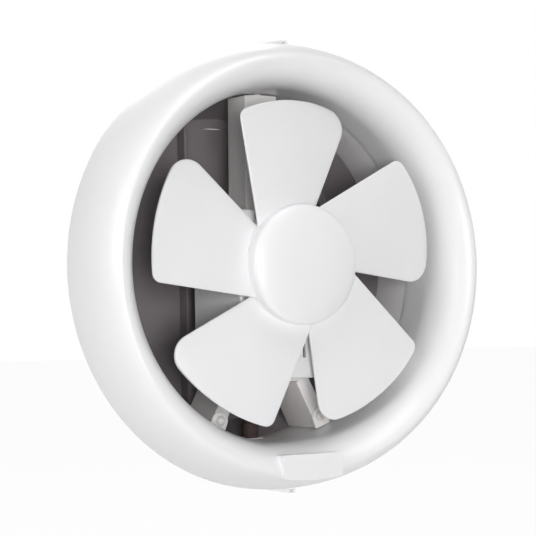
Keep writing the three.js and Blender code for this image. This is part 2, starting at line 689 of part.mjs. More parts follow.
// A lower leg: a channel that is open at the back, with the frame's pillar between its walls.
// It runs on past its foot and is trimmed to the round throat.
function lowerLeg(foot) {
  const { x, z, seat, front, face } = footShape(foot);
  const start = [Math.sign(x) * LEG_TOP_X, coverBottom - SHELF_THICKNESS / 2];
  const run = Math.hypot(x - start[0], z - start[1]);
  const along = (distance) => [
    start[0] + (x - start[0]) * distance / run, start[1] + (z - start[1]) * distance / run,
  ];
  const end = along(run + 2 * FOOT_INSET);
  const hollow = barOutline(along(LEG_HOLLOW_LEAD), end, LEG_WIDTH / 2 - LEG_WALL);
  const channel = cut(
    plate(barOutline(start, end, LEG_WIDTH / 2), front, plateRear),
    plate(hollow, seat, plateRear + OVER),
  );
  const wall = onCircle(THROAT_RADIUS, footAngles[foot]);
  const padRear = front + EYE_THICKNESS / 2;
  const pad = joined(
    bar(FOOT_BOSS_RADIUS, face, padRear, x, z, SHAFT_SIDES),
    plate(barOutline([x, z], wall, FOOT_BOSS_RADIUS), face, padRear),
  );
  return joined(channel, pad).intersect(legEnd());
}

// The spine: a channel that narrows towards the top and takes the top pillar between its walls.
function spine() {
  const { seat, front } = footShape('top');
  const low = coverTop + SHELF_THICKNESS / 2;
  const trapezoid = (inset, z0) => [
    [-SPINE_HALF_WIDTH + inset, z0], [SPINE_HALF_WIDTH - inset, z0],
    [SPINE_TOP_HALF_WIDTH - inset, ductInner], [-SPINE_TOP_HALF_WIDTH + inset, ductInner],
  ];
  const channel = cut(
    plate(trapezoid(0, low), front, plateRear - SPINE_SETBACK),
    plate(trapezoid(SPINE_WALL, coverTop + SHELF_THICKNESS), seat, plateRear - SPINE_SETBACK + OVER),
  );
  return channel.intersect(legEnd());
}

function motorBracket() {
  const back = plate(
    roundedRectangle(
      -coverHalfWidth, coverHalfWidth, coverBottom - SHELF_THICKNESS, coverTop + SHELF_THICKNESS,
      COVER_CORNER,
    ),
    plateFront, plateRear,
  );
  const shelfHalf = coverHalfWidth - COVER_CORNER;
  const lowerShelf = block(
    [-shelfHalf, footShape('left').front, coverBottom - SHELF_THICKNESS],
    [shelfHalf, plateRear, coverBottom - FIT],
  );
  const upperShelf = block(
    [-SPINE_HALF_WIDTH, footShape('top').front, coverTop + FIT],
    [SPINE_HALF_WIDTH, plateRear, coverTop + SHELF_THICKNESS],
  );
  const coverSpace = block(
    [-coverHalfWidth - OVER, coverFront, coverBottom - FIT],
    [coverHalfWidth + OVER, plateFront, coverTop + FIT],
  );
  const postFront = coreRear + SEAT + STRAP_THICKNESS + SEAT;
  const posts = [-1, 1].map((side) => bar(POST_RADIUS, postFront, plateRear, side * boltX, 0));
  const bores = [-1, 1].map((side) =>
    bar(MOTOR_BOLT_RADIUS + PIN_PLAY, postFront - OVER, plateRear - OVER, side * boltX, 0));
  const eyes = Object.keys(footAngles).map((foot) => {
    const { x, z, seat, face } = footShape(foot);
    return bar(LEG_SCREW_RADIUS + PIN_PLAY, face - OVER, seat + OVER, x, z);
  });
  const arms = cut(joined(lowerLeg('left'), lowerLeg('right'), spine()), coverSpace);
  const body = joined(back, lowerShelf, upperShelf, arms, posts);
  return piece('motor_bracket', cut(body, bores, eyes), paintedSteel);
}

function legScrews() {
  return Object.keys(footAngles).map((foot) => {
    const { x, z, seat, face } = footShape(foot);
    const length = seat - face + LEG_SCREW_DEPTH;
    const screw = screwShape(
      LEG_SCREW_RADIUS, length, LEG_SCREW_HEAD_RADIUS, LEG_SCREW_HEAD_HEIGHT,
    );
    return piece(`leg_screw_${foot}`, screw, paintedSteel, [x, face - SEAT, z]);
  });
}

// ---- Motor ----
function motorCover() {
  const rear = plateFront - SEAT;
  const outerShape = roundedRectangle(
    -coverHalfWidth, coverHalfWidth, coverBottom, coverTop, COVER_CORNER,
  );
  const faceShape = roundedRectangle(
    -coverHalfWidth + COVER_EDGE, coverHalfWidth - COVER_EDGE, coverBottom + COVER_EDGE,
    coverTop - COVER_EDGE, COVER_CORNER - COVER_EDGE,
  );
  const hollow = plate(roundedRectangle(
    -coverHalfWidth + COVER_WALL, coverHalfWidth - COVER_WALL, coverBottom + COVER_WALL,
    coverTop - COVER_WALL, COVER_CORNER - COVER_WALL,
  ), coverInside, rear + OVER);
  const shell = joined(
    plate(outerShape, coverFront + COVER_EDGE, rear),
    plate(faceShape, coverFront, coverInside),
  );
  const holeRadius = SHAFT_RADIUS + COVER_SHAFT_GAP;
  const shaftHole = bar(holeRadius, coverFront - OVER, coverInside + OVER, 0, 0, SHAFT_SIDES);
  const slot = block(
    [SLOT_X - SLOT_WIDTH / 2, coverFront - OVER, SLOT_Z - SLOT_HEIGHT / 2],
    [SLOT_X + SLOT_WIDTH / 2, coverInside + OVER, SLOT_Z + SLOT_HEIGHT / 2],
  );
  return piece('motor_cover', cut(shell, hollow, shaftHole, slot), whitePlastic);
}

function statorCore() {
  const shoulder = CORE_HALF_WIDTH - CORE_CHAMFER;
  const outline = [
    [-CORE_HALF_WIDTH, coreBottom], [CORE_HALF_WIDTH, coreBottom],
    [CORE_HALF_WIDTH, CORE_TOP - CORE_CHAMFER], [shoulder, CORE_TOP],
    [-shoulder, CORE_TOP], [-CORE_HALF_WIDTH, CORE_TOP - CORE_CHAMFER],
  ];
  const stack = plate(outline, coreFront, coreRear);
  const bore = bar(ROTOR_RADIUS + AIR_GAP, coreFront - OVER, coreRear + OVER, 0, 0, HUB_SIDES);
  const window = block(
    [-WINDOW_HALF_WIDTH, coreFront - OVER, windowBottom],
    [WINDOW_HALF_WIDTH, coreRear + OVER, windowTop],
  );
  const bolts = [-1, 1].map((side) =>
    bar(MOTOR_BOLT_RADIUS + PIN_PLAY, coreFront - OVER, coreRear + OVER, side * boltX, 0));
  return piece('stator_core', cut(stack, bore, window, bolts), laminations);
}

function coilPieces() {
  const half = WINDOW_HALF_WIDTH - COIL_END_GAP;
  const tube = { y0: coreFront - FIT, y1: coreRear + FIT, z0: coreBottom - FIT, z1: windowBottom + FIT };
  const grow = (by) => [[tube.y0 - by, tube.z0 - by], [tube.y1 + by, tube.z1 + by]];
  const slab = (x0, x1, by) => {
    const [[y0, z0], [y1, z1]] = grow(by);
    return block([x0, y0, z0], [x1, y1, z1]);
  };
  const reach = COIL_THICKNESS - FIT;
  const bobbin = cut(
    joined(
      slab(-half, half, BOBBIN_WALL),
      slab(-half, -half + BOBBIN_WALL, reach),
      slab(half - BOBBIN_WALL, half, reach),
    ),
    slab(-half - OVER, half + OVER, 0),
  );
  const coilHalf = half - BOBBIN_WALL - FIT;
  const winding = cut(
    slab(-coilHalf, coilHalf, reach - COIL_SHY),
    slab(-coilHalf - OVER, coilHalf + OVER, BOBBIN_WALL + FIT),
  );
  const fuse = new THREE.CylinderGeometry(FUSE_RADIUS, FUSE_RADIUS, FUSE_LENGTH, SCREW_SIDES);
  fuse.rotateZ(Math.PI / 2);
  const fuseY = tube.y0 - reach + COIL_SHY - FUSE_RADIUS - SEAT;
  return [
    piece('coil_bobbin', bobbin, nylon),
    piece('coil_winding', winding, copperWire),
    piece('thermal_fuse', solid(fuse), nylon, [0, fuseY, (tube.z0 + tube.z1) / 2]),
  ];
}

// A bearing strap: a flat strip with a raised middle, drawn for a core face at y = 0 facing -Y.
function bearingStrap() {
  const half = CORE_HALF_WIDTH;
  const t = STRAP_THICKNESS;
  const knee = half - STRAP_FOOT;
  const shoulder = knee - STRAP_SLOPE;
  const inset = STRAP_SLOPE_INSET;
  const outline = [
    [-half, 0], [-half, -t], [-knee, -t], [-shoulder, -STRAP_RISE], [shoulder, -STRAP_RISE],
    [knee, -t], [half, -t], [half, 0], [knee - inset, 0], [shoulder - inset, -STRAP_RISE + t],
    [-shoulder + inset, -STRAP_RISE + t], [-knee + inset, 0],
  ];
  const holes = [-1, 1].map((side) =>
    bar(MOTOR_BOLT_RADIUS + PIN_PLAY, -t - OVER, OVER, side * boltX, 0));
  return cut(
    strip(outline, -STRAP_HALF_HEIGHT, STRAP_HALF_HEIGHT),
    bar(bushNeck + FIT, -STRAP_RISE - OVER, -STRAP_RISE + t + OVER, 0, 0, SHAFT_SIDES),
    holes,
  );
}

// A flanged sleeve bearing whose flange rests on the inside of the strap.
function bushShape() {
  const bore = SHAFT_RADIUS + SHAFT_PLAY;
  const flangeFront = STRAP_THICKNESS + BUSH_PROUD + SEAT;
  return turned([
    [bore, 0], [bushNeck, 0], [bushNeck, flangeFront], [BUSH_RADIUS, flangeFront],
    [BUSH_RADIUS, BUSH_LENGTH], [bore, BUSH_LENGTH],
  ], SHAFT_SIDES);
}

function bearings() {
  const strap = bearingStrap();
  const boltGrip = STACK_THICKNESS + 2 * (STRAP_THICKNESS + SEAT) + SEAT;
  const boltLength = boltGrip + MOTOR_BOLT_TAIL;
  const bolt = screwShape(MOTOR_BOLT_RADIUS, boltLength, SCREW_HEAD_RADIUS, MOTOR_BOLT_HEAD);
  const boltSeat = coreFront - SEAT - STRAP_THICKNESS - SEAT;
  const halfTurn = [0, 0, Math.PI];
  return [
    piece('bearing_strap_front', strap, zincSteel, [0, coreFront - SEAT, 0]),
    piece('bearing_strap_rear', strap, zincSteel, [0, coreRear + SEAT, 0], halfTurn),
    piece('bearing_front', bushShape(), bronze, [0, frontBushEnd, 0]),
    piece('bearing_rear', bushShape(), bronze, [0, rearBushEnd, 0], halfTurn),
    piece('motor_bolt_left', bolt, zincSteel, [-boltX, boltSeat, 0]),
    piece('motor_bolt_right', bolt, zincSteel, [boltX, boltSeat, 0]),
  ];
}

// The block where the coil's ends meet the supply wires, glued on the core above the shaft.
function terminalBlock() {
  const half = TERMINAL_HALF_WIDTH;
  const low = STRAP_HALF_HEIGHT + TERMINAL_GAP;
  const high = low + TERMINAL_HEIGHT;
  const rear = coreFront - SEAT;
  const base = block([-half, rear - TERMINAL_BASE, low], [half, rear, high]);
  const walls = [-half, -TERMINAL_WALL / 2, half - TERMINAL_WALL].map((x) =>
    block([x, rear - TERMINAL_DEPTH, low], [x + TERMINAL_WALL, rear - TERMINAL_BASE + RIB_ROOT, high]));
  return piece('terminal_block', joined(base, walls), nylon);
}

// ---- Rotating pieces ----
const capBack = bladePlane + CAP_REAR;
const capShoulder = capBack - CAP_SKIRT;
const shaftFront = capShoulder - SHAFT_CAP_GAP;
const bossFront = bladePlane - BOSS_LEAD;
const bossRear = bladePlane + HUB_REAR - BOSS_SHORT;
const crossPinY = bossRear - CROSS_PIN_RADIUS - PIN_PLAY;

function shaftGroup() {
  const bore = SHAFT_RADIUS + SHAFT_PLAY;
  const crossBar = (radius, length) =>
    solid(new THREE.CylinderGeometry(radius, radius, length, SCREW_SIDES).rotateZ(Math.PI / 2));
  const shaft = cut(
    bar(SHAFT_RADIUS, shaftFront, rearBushEnd, 0, 0, SHAFT_SIDES),
    crossBar(CROSS_PIN_RADIUS + PIN_PLAY, CROSS_PIN_LENGTH).translate([0, crossPinY, 0]),
  );
  const rotor = ring(bore, ROTOR_RADIUS, coreFront, coreRear, HUB_SIDES);
  const washer = ring(bore, BUSH_RADIUS, 0, WASHER_THICKNESS, SHAFT_SIDES);
  const frontWasherY = frontBushEnd + BUSH_LENGTH + SEAT;
  const rearWasherY = rearBushEnd - BUSH_LENGTH - SEAT - WASHER_THICKNESS;
  const nut = nutShape(SHAFT_RADIUS, SHAFT_NUT_RADIUS, SHAFT_NUT_HEIGHT);
  return [
    piece('motor_shaft', shaft, zincSteel),
    piece('cross_pin', crossBar(CROSS_PIN_RADIUS, CROSS_PIN_LENGTH), zincSteel, [0, crossPinY, 0]),
    piece('rotor', rotor, laminations),
    piece('thrust_washer_front', washer, nylon, [0, frontWasherY, 0]),
    piece('thrust_washer_rear', washer, nylon, [0, rearWasherY, 0]),
    piece('impeller_nut', nut, zincSteel, [0, bossFront - SEAT - SHAFT_NUT_HEIGHT, 0]),
  ];
}

// The shallow dome over the middle of the impeller. Its skirt slides on the hub's neck.
function spinnerCap() {
  const dome = new THREE.CubicBezierCurve(
    new THREE.Vector2(0, -CAP_DOME), new THREE.Vector2(HUB_RADIUS * CAP_DOME_FLAT, -CAP_DOME),
    new THREE.Vector2(HUB_RADIUS, -CAP_DOME * CAP_DOME_SHOULDER), new THREE.Vector2(HUB_RADIUS, 0),
  );
  const scale = (HUB_RADIUS - CAP_WALL) / HUB_RADIUS;
  const outside = asPairs(dome.getPoints(7));
  const inside = asPairs(dome.getPoints(4)).map(([r, y]) => [r * scale, (y + CAP_WALL / 2) * scale]);
  const profile = [
    ...outside, [HUB_RADIUS, CAP_SKIRT], [HUB_RADIUS - CAP_WALL, CAP_SKIRT],
    ...inside.reverse(),
  ];
  return piece('spinner_cap', turned(profile, HUB_SIDES), whitePlastic, [0, capShoulder, 0]);
}

// The angle of one edge of a blade at a radius: a straight line, and near the tip a round corner.
// The turn is +1 for the leading edge and -1 for the trailing edge.
function edgeAngle(radius, { lean, offset, corner, turn }) {
  const centreRadius = tipRadius - corner;
  const centreOffset = offset - turn * corner;
  const centreAngle = lean + Math.asin(centreOffset / centreRadius);
  const tangentRadius = Math.hypot(centreRadius * Math.cos(centreAngle - lean), offset);
  if (radius < tangentRadius) return lean + Math.asin(offset / radius);
  const reach = (centreRadius ** 2 + radius ** 2 - corner ** 2) / (2 * centreRadius * radius);
  return centreAngle + turn * Math.acos(Math.min(reach, 1));
}

const leadingEdge = { lean: LEADING_LEAN, offset: LEADING_OFFSET, corner: LEADING_CORNER, turn: 1 };
const trailingEdge = {
  lean: TRAILING_LEAN, offset: TRAILING_OFFSET, corner: TRAILING_CORNER, turn: -1,
};

// One blade as a closed skin over a grid of span and chord steps, with its axis along +Z.
function bladeShape() {
  const spanSteps = 8;
  const chordSteps = 6;
  const rootRadius = HUB_RADIUS - HUB_WALL * BLADE_ROOT_SHARE;
  const corners = [];
  const at = (i, j, side) => (i * (chordSteps + 1) + j) * 2 + side;
  for (let i = 0; i <= spanSteps; i += 1) {
    const span = 1 - (1 - i / spanSteps) ** 2;
    const radius = rootRadius + (tipRadius - rootRadius) * span;
    const trailingDepth = THREE.MathUtils.lerp(TRAILING_DEPTH_ROOT, TRAILING_DEPTH_TIP, span);
    for (let j = 0; j <= chordSteps; j += 1) {
      const chord = j / chordSteps;
      const angle = THREE.MathUtils.lerp(
        edgeAngle(radius, trailingEdge), edgeAngle(radius, leadingEdge), chord,
      );
      const depth = THREE.MathUtils.lerp(trailingDepth, LEADING_DEPTH, chord)
        - BLADE_CAMBER * 4 * chord * (1 - chord);
      for (const half of [-0.5, 0.5]) {
        corners.push(-radius * Math.sin(angle), depth + half * BLADE_THICKNESS, radius * Math.cos(angle));
      }
    }
  }
  const faces = [];
  const quad = (a, b, c, d) => faces.push(a, b, c, a, c, d);
  for (let i = 0; i < spanSteps; i += 1) {
    for (let j = 0; j < chordSteps; j += 1) {
      quad(at(i, j, 0), at(i, j + 1, 0), at(i + 1, j + 1, 0), at(i + 1, j, 0));
      quad(at(i, j, 1), at(i + 1, j, 1), at(i + 1, j + 1, 1), at(i, j + 1, 1));
    }
    quad(at(i, 0, 0), at(i + 1, 0, 0), at(i + 1, 0, 1), at(i, 0, 1));
    quad(at(i, chordSteps, 0), at(i, chordSteps, 1), at(i + 1, chordSteps, 1), at(i + 1, chordSteps, 0));
  }
  for (let j = 0; j < chordSteps; j += 1) {
    quad(at(0, j, 0), at(0, j, 1), at(0, j + 1, 1), at(0, j + 1, 0));
    quad(at(spanSteps, j, 0), at(spanSteps, j + 1, 0), at(spanSteps, j + 1, 1), at(spanSteps, j, 1));
  }
  const geometry = new THREE.BufferGeometry();
  geometry.setAttribute('position', new THREE.Float32BufferAttribute(corners, 3));
  geometry.setIndex(faces);
  return geometry;
}

function impeller() {
  const neck = HUB_RADIUS - CAP_WALL - FIT;
  const front = CAP_REAR - CAP_SKIRT + CAP_NECK_SHORT;
  const inner = HUB_RADIUS - HUB_WALL;
  const bossRearDepth = HUB_REAR - BOSS_SHORT;
  const boreRadius = SHAFT_RADIUS + SHAFT_PLAY;
  const hub = turned([
    [boreRadius, -BOSS_LEAD], [BOSS_RADIUS, -BOSS_LEAD], [BOSS_RADIUS, -WEB_FRONT],
    [neck - HUB_WALL, -WEB_FRONT], [neck - HUB_WALL, front], [neck, front],
    [neck, CAP_REAR + FIT], [HUB_RADIUS, CAP_REAR + FIT], [HUB_RADIUS, HUB_REAR],
    [inner, HUB_REAR], [inner, WEB_REAR], [BOSS_RADIUS, WEB_REAR],
    [BOSS_RADIUS, bossRearDepth], [boreRadius, bossRearDepth],
  ], HUB_SIDES);
  const blades = Array.from({ length: BLADES }, (_, i) =>
    solid(bladeShape().rotateY((i * 2 * Math.PI) / BLADES)));
  const pinRoom = CROSS_PIN_RADIUS + PIN_PLAY;
  const pinSlot = block(
    [-BOSS_RADIUS - OVER, crossPinY - bladePlane - pinRoom, -pinRoom],
    [BOSS_RADIUS + OVER, HUB_REAR + OVER, pinRoom],
  );
  return piece('impeller', cut(joined(hub, blades), pinSlot), bladePlastic, [0, bladePlane, 0]);
}

// ---- Outdoor duct and shutter ----
const flapFront = seatY + FIT;
const flapRear = flapFront + FLAP_THICKNESS;
const springEarOuter = SPRING_EAR_Z + EAR_THICKNESS;
const knuckleGap = FIT + SEAT;
const outerEarZ = KNUCKLE_Z + KNUCKLE_LENGTH / 2 + knuckleGap;
const pinReach = outerEarZ + EAR_THICKNESS;
const earLevels = [
  [-pinReach, -outerEarZ], [-springEarOuter, -SPRING_EAR_Z],
  [SPRING_EAR_Z, springEarOuter], [outerEarZ, pinReach],
];

function outdoorBody() {
  const shell = turned([
    [sleeveInner, outdoorFlangeFront], [outdoorFlangeRadius, outdoorFlangeFront],
    [outdoorFlangeRadius, outdoorFlangeRear], [sleeveOuter, outdoorFlangeRear],
    [sleeveOuter, kneeY], [outletRadius + RIM_WALL, outletY], [outletRadius + RIM_WALL, seatY + RIM_HEIGHT],
    [outletRadius, seatY + RIM_HEIGHT], [outletRadius, seatY], [seatInner, seatY],
    [seatInner, outletY], [outletRadius, outletY], [ductInner, kneeY],
    [sleeveInner, kneeY - SLEEVE_LEAD_IN],
  ]);
  const reach = Math.sqrt(seatInner ** 2 - MULLION_HALF_WIDTH ** 2) + MULLION_ROOT;
  const web = block([-MULLION_HALF_WIDTH, outletY, -reach], [MULLION_HALF_WIDTH, seatY, reach]);
  const ribs = [-1, 1].map((side) => {
    const edges = [side * MULLION_HALF_WIDTH, side * (MULLION_HALF_WIDTH - MULLION_RIB)];
    return block(
      [Math.min(...edges), outletY - MULLION_RIB_DEPTH, -reach],
      [Math.max(...edges), outletY + RIB_ROOT, reach],
    );
  });
  const ears = [-1, 1].flatMap((side) => earLevels.map(([z0, z1]) => {
    const x = side * HINGE_X;
    const inner = x - side * KNUCKLE_RADIUS;
    const outer = x + side * EAR_OUTSTAND;
    return joined(
      block([Math.min(inner, outer), seatY - RIB_ROOT, z0], [Math.max(inner, outer), hingeY, z1]),
      upright(KNUCKLE_RADIUS, z0, z1, x, hingeY),
    );
  }));
  const pinHoles = [-1, 1].map((side) =>
    upright(HINGE_PIN_RADIUS + PIN_PLAY, -pinReach - OVER, pinReach + OVER, side * HINGE_X, hingeY));
  const clampHoles = clampAngles.map((angle) => {
    const [x, z] = onCircle(clampCircle, angle);
    return bar(
      CLAMP_SCREW_RADIUS + PIN_PLAY, outdoorFlangeFront - OVER, outdoorFlangeRear + OVER, x, z,
    );
  });
  const channelHalf = CORD_CHANNEL_HALF_WIDTH + OUTDOOR_CHANNEL_EXTRA;
  const cordChannel = block(
    [CORD_X - channelHalf, outdoorFlangeFront - OVER, -socketOuter - CORD_CHANNEL_DEPTH],
    [CORD_X + channelHalf, DUCT_REAR_Y, -ductInner],
  );
  const body = joined(shell, web, ribs, ears);
  return piece('outdoor_body', cut(body, pinHoles, clampHoles, cordChannel), darkPlastic);
}

// One flap, drawn for the right-hand side, with its hinge line at x = HINGE_X.
function flapShape() {
  const half = Math.acos(HINGE_X / flapRadius);
  const outline = new THREE.Shape();
  const arcSteps = 20;
  for (let i = 0; i <= arcSteps; i += 1) {
    const [x, z] = onCircle(flapRadius, -half + (2 * half * i) / arcSteps);
    if (i === 0) outline.moveTo(x, z);
    else outline.lineTo(x, z);
  }
  const panel = plate(outline, flapFront, flapRear);
  const ribs = FLAP_RIBS_Z.map((z) => {
    const end = Math.sqrt(flapRadius ** 2 - z ** 2) - FLAP_RIB_MARGIN;
    return block(
      [HINGE_X + FLAP_RIB_START, flapRear - RIB_ROOT, z - FLAP_RIB_HALF],
      [end, flapRear + FLAP_RIB_HEIGHT, z + FLAP_RIB_HALF],
    );
  });
  const knuckles = [-1, 1].map((side) => {
    const z0 = side * KNUCKLE_Z - KNUCKLE_LENGTH / 2;
    const z1 = z0 + KNUCKLE_LENGTH;
    return joined(
      block([HINGE_X, flapRear - RIB_ROOT, z0], [HINGE_X + KNUCKLE_RADIUS, hingeY, z1]),
      upright(KNUCKLE_RADIUS, z0, z1, HINGE_X, hingeY),
    );
  });
  const notches = earLevels.map(([z0, z1]) => block(
    [HINGE_X - OVER, flapFront - OVER, z0 - FIT],
    [HINGE_X + EAR_OUTSTAND + FIT, flapRear + OVER, z1 + FIT],
  ));
  const bore = upright(HINGE_PIN_RADIUS + PIN_PLAY, -pinReach, pinReach, HINGE_X, hingeY);
  return cut(joined(panel, ribs, knuckles), bore, notches);
}

// The wire's path for the right-hand flap: a leg on the mullion, the curls and a leg on the flap.
function springPath() {
  const steps = SPRING_CURLS * SPRING_STEPS;
  const length = SPRING_CURLS * SPRING_PITCH;
  const mullionEnd = seatY + SPRING_WIRE_RADIUS + SEAT;
  const flapEnd = flapRear + SPRING_WIRE_RADIUS + SEAT;
  const points = [new THREE.Vector3(HINGE_X - SPRING_LEG, mullionEnd, -length / 2)];
  for (let i = 0; i <= steps; i += 1) {
    const turn = (2 * Math.PI * i) / SPRING_STEPS - Math.PI / 2;
    points.push(new THREE.Vector3(
      HINGE_X + SPRING_MEAN_RADIUS * Math.cos(turn),
      hingeY + SPRING_MEAN_RADIUS * Math.sin(turn),
      length * (i / steps - 0.5),
    ));
  }
  points.push(new THREE.Vector3(HINGE_X + SPRING_LEG, flapEnd, length / 2));
  return points;
}

// A closed tube of five sides along the points, without a break.
function wireTube(points, radius) {
  const sides = 5;
  const corners = [];
  const along = new THREE.Vector3();
  const side = new THREE.Vector3();
  const up = new THREE.Vector3();
  const corner = new THREE.Vector3();
  const axis = new THREE.Vector3(0, 0, 1);
  points.forEach((point, i) => {
    const before = points[Math.max(i - 1, 0)];
    const after = points[Math.min(i + 1, points.length - 1)];
    along.subVectors(after, before).normalize();
    up.copy(axis).addScaledVector(along, -axis.dot(along)).normalize();
    side.crossVectors(along, up);
    for (let k = 0; k < sides; k += 1) {
      const turn = (2 * Math.PI * k) / sides;
      corner.copy(point).addScaledVector(up, radius * Math.cos(turn));
      corner.addScaledVector(side, radius * Math.sin(turn));
      corners.push(corner.x, corner.y, corner.z);
    }
  });
  const faces = [];
  for (let i = 0; i + 1 < points.length; i += 1) {
    for (let k = 0; k < sides; k += 1) {
      const a = i * sides + k;
      const b = i * sides + ((k + 1) % sides);
      faces.push(a, b, b + sides, a, b + sides, a + sides);
    }
  }
  const last = (points.length - 1) * sides;
  for (let k = 1; k + 1 < sides; k += 1) {
    faces.push(0, k + 1, k, last, last + k, last + k + 1);
  }
  const geometry = new THREE.BufferGeometry();
  geometry.setAttribute('position', new THREE.Float32BufferAttribute(corners, 3));
  geometry.setIndex(faces);
  return solid(geometry);
}

// The least gap between curls of the wire, measured between points at least half a curl apart.
function leastGap(points, radius) {
  let least = Infinity;
  points.forEach((point, i) => {
    for (let j = i + SPRING_STEPS / 2; j < points.length; j += 1) {
      least = Math.min(least, point.distanceTo(points[j]) - 2 * radius);
    }
  });
  return least;
}

const mirroredX = (shape) => shape.mirror([1, 0, 0]);

function shutterPieces() {
  const pin = joined(
    upright(HINGE_PIN_RADIUS, -pinReach - PIN_TIP, pinReach + FIT + PIN_HEAD_HEIGHT / 2),
    upright(PIN_HEAD_RADIUS, pinReach + FIT, pinReach + FIT + PIN_HEAD_HEIGHT),
  );
  const wire = springPath();
  const spring = wireTube(wire, SPRING_WIRE_RADIUS);
  const gap = leastGap(wire, SPRING_WIRE_RADIUS);
  console.log(`spring: least gap between curls ${gap.toFixed(2)} mm`);
  const flap = flapShape();
  return [
    piece('hinge_pin_left', pin, zincSteel, [-HINGE_X, hingeY, 0]),
    piece('hinge_pin_right', pin, zincSteel, [HINGE_X, hingeY, 0]),
    piece('flap_spring_left', mirroredX(spring), zincSteel),
    piece('flap_spring_right', spring, zincSteel),
    piece('flap_left', mirroredX(flap), flapPlastic),
    piece('flap_right', flap, flapPlastic),
  ];
}

// ---- The whole fan ----
const indoorHalf = assembly(
  bezelRing(), badgePlate(), bezelCatch('bezel_catch_top', false),
  bezelCatch('bezel_catch_bottom', true),
  mountFrame(), cordGland(), gaskets(), clampSet(),
);
const motor = assembly(
  motorBracket(), legScrews(), motorCover(), statorCore(), coilPieces(), bearings(), terminalBlock(),
);
const rotatingPieces = assembly(impeller(), spinnerCap(), shaftGroup());
const outdoorHalf = assembly(outdoorBody(), shutterPieces());

const group = new THREE.Group();
group.add(indoorHalf, motor, rotatingPieces, outdoorHalf);

export default group;
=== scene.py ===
"""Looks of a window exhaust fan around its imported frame.

Each sub-assembly is a class with its sizes in millimetres. Its solids are built as fine meshes
in millimetres and turned into pieces in metres, which ride on the bodies of the frame.
The fan's axis is the Y axis, +Y points outdoors and +Z is up.
"""

from __future__ import annotations

import logging
import math
from dataclasses import dataclass
from enum import Enum
from typing import Iterable, Sequence

import bmesh
import bpy
from mathutils import Matrix, Vector


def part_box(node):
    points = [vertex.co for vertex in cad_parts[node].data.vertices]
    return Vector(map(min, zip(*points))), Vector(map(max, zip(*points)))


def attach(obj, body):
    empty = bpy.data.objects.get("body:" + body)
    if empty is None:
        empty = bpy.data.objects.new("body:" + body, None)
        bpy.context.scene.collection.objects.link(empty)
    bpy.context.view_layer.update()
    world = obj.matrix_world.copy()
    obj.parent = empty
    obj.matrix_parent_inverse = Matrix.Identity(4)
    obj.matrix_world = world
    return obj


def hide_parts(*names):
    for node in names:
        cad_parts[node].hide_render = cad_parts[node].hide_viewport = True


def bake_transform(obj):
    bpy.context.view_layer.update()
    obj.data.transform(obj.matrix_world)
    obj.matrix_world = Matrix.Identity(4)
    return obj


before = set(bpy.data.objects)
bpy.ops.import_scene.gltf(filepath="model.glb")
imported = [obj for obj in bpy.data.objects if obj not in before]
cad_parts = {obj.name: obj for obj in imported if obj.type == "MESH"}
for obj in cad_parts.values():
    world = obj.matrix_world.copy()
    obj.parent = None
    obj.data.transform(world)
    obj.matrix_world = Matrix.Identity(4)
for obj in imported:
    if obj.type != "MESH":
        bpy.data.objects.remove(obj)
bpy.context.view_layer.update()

Pair = tuple[float, float]
Triple = tuple[float, float, float]
MM = 0.001
log = logging.getLogger("fan")


class Body(Enum):
    """The moving bodies of the frame."""

    HOUSING = "housing"
    IMPELLER = "impeller_set"
    FLAP_LEFT = "flap_left"
    FLAP_RIGHT = "flap_right"


# ---- Shader maths ----
class Signal:
    """An output socket whose operators add Math nodes."""

    def __init__(self, shader: Shader, socket: bpy.types.NodeSocket) -> None:
        """Keeps the socket and the shader that it belongs to."""
        self.shader = shader
        self.socket = socket

    def _math(self, operation: str, first: object, second: object) -> Signal:
        """Adds a Math node on two values.

        Args:
            operation: The Math node's operation.
            first: A number or a signal.
            second: A number or a signal.

        Returns:
            The node's result.
        """
        return self.shader.node(
            "ShaderNodeMath", {"operation": operation}, {0: first, 1: second}
        )

    def __add__(self, other: object) -> Signal:
        """Adds a number or a signal."""
        return self._math("ADD", self, other)

    def __radd__(self, other: object) -> Signal:
        """Adds to a number."""
        return self._math("ADD", other, self)

    def __sub__(self, other: object) -> Signal:
        """Subtracts a number or a signal."""
        return self._math("SUBTRACT", self, other)

    def __rsub__(self, other: object) -> Signal:
        """Subtracts from a number."""
        return self._math("SUBTRACT", other, self)

    def __mul__(self, other: object) -> Signal:
        """Multiplies by a number or a signal."""
        return self._math("MULTIPLY", self, other)

    def __rmul__(self, other: object) -> Signal:
        """Multiplies a number."""
        return self._math("MULTIPLY", other, self)

    def __gt__(self, other: object) -> Signal:
        """One where this is greater, otherwise zero."""
        return self._math("GREATER_THAN", self, other)

    def largest(self, other: object) -> Signal:
        """The larger of this and a number or a signal."""
        return self._math("MAXIMUM", self, other)


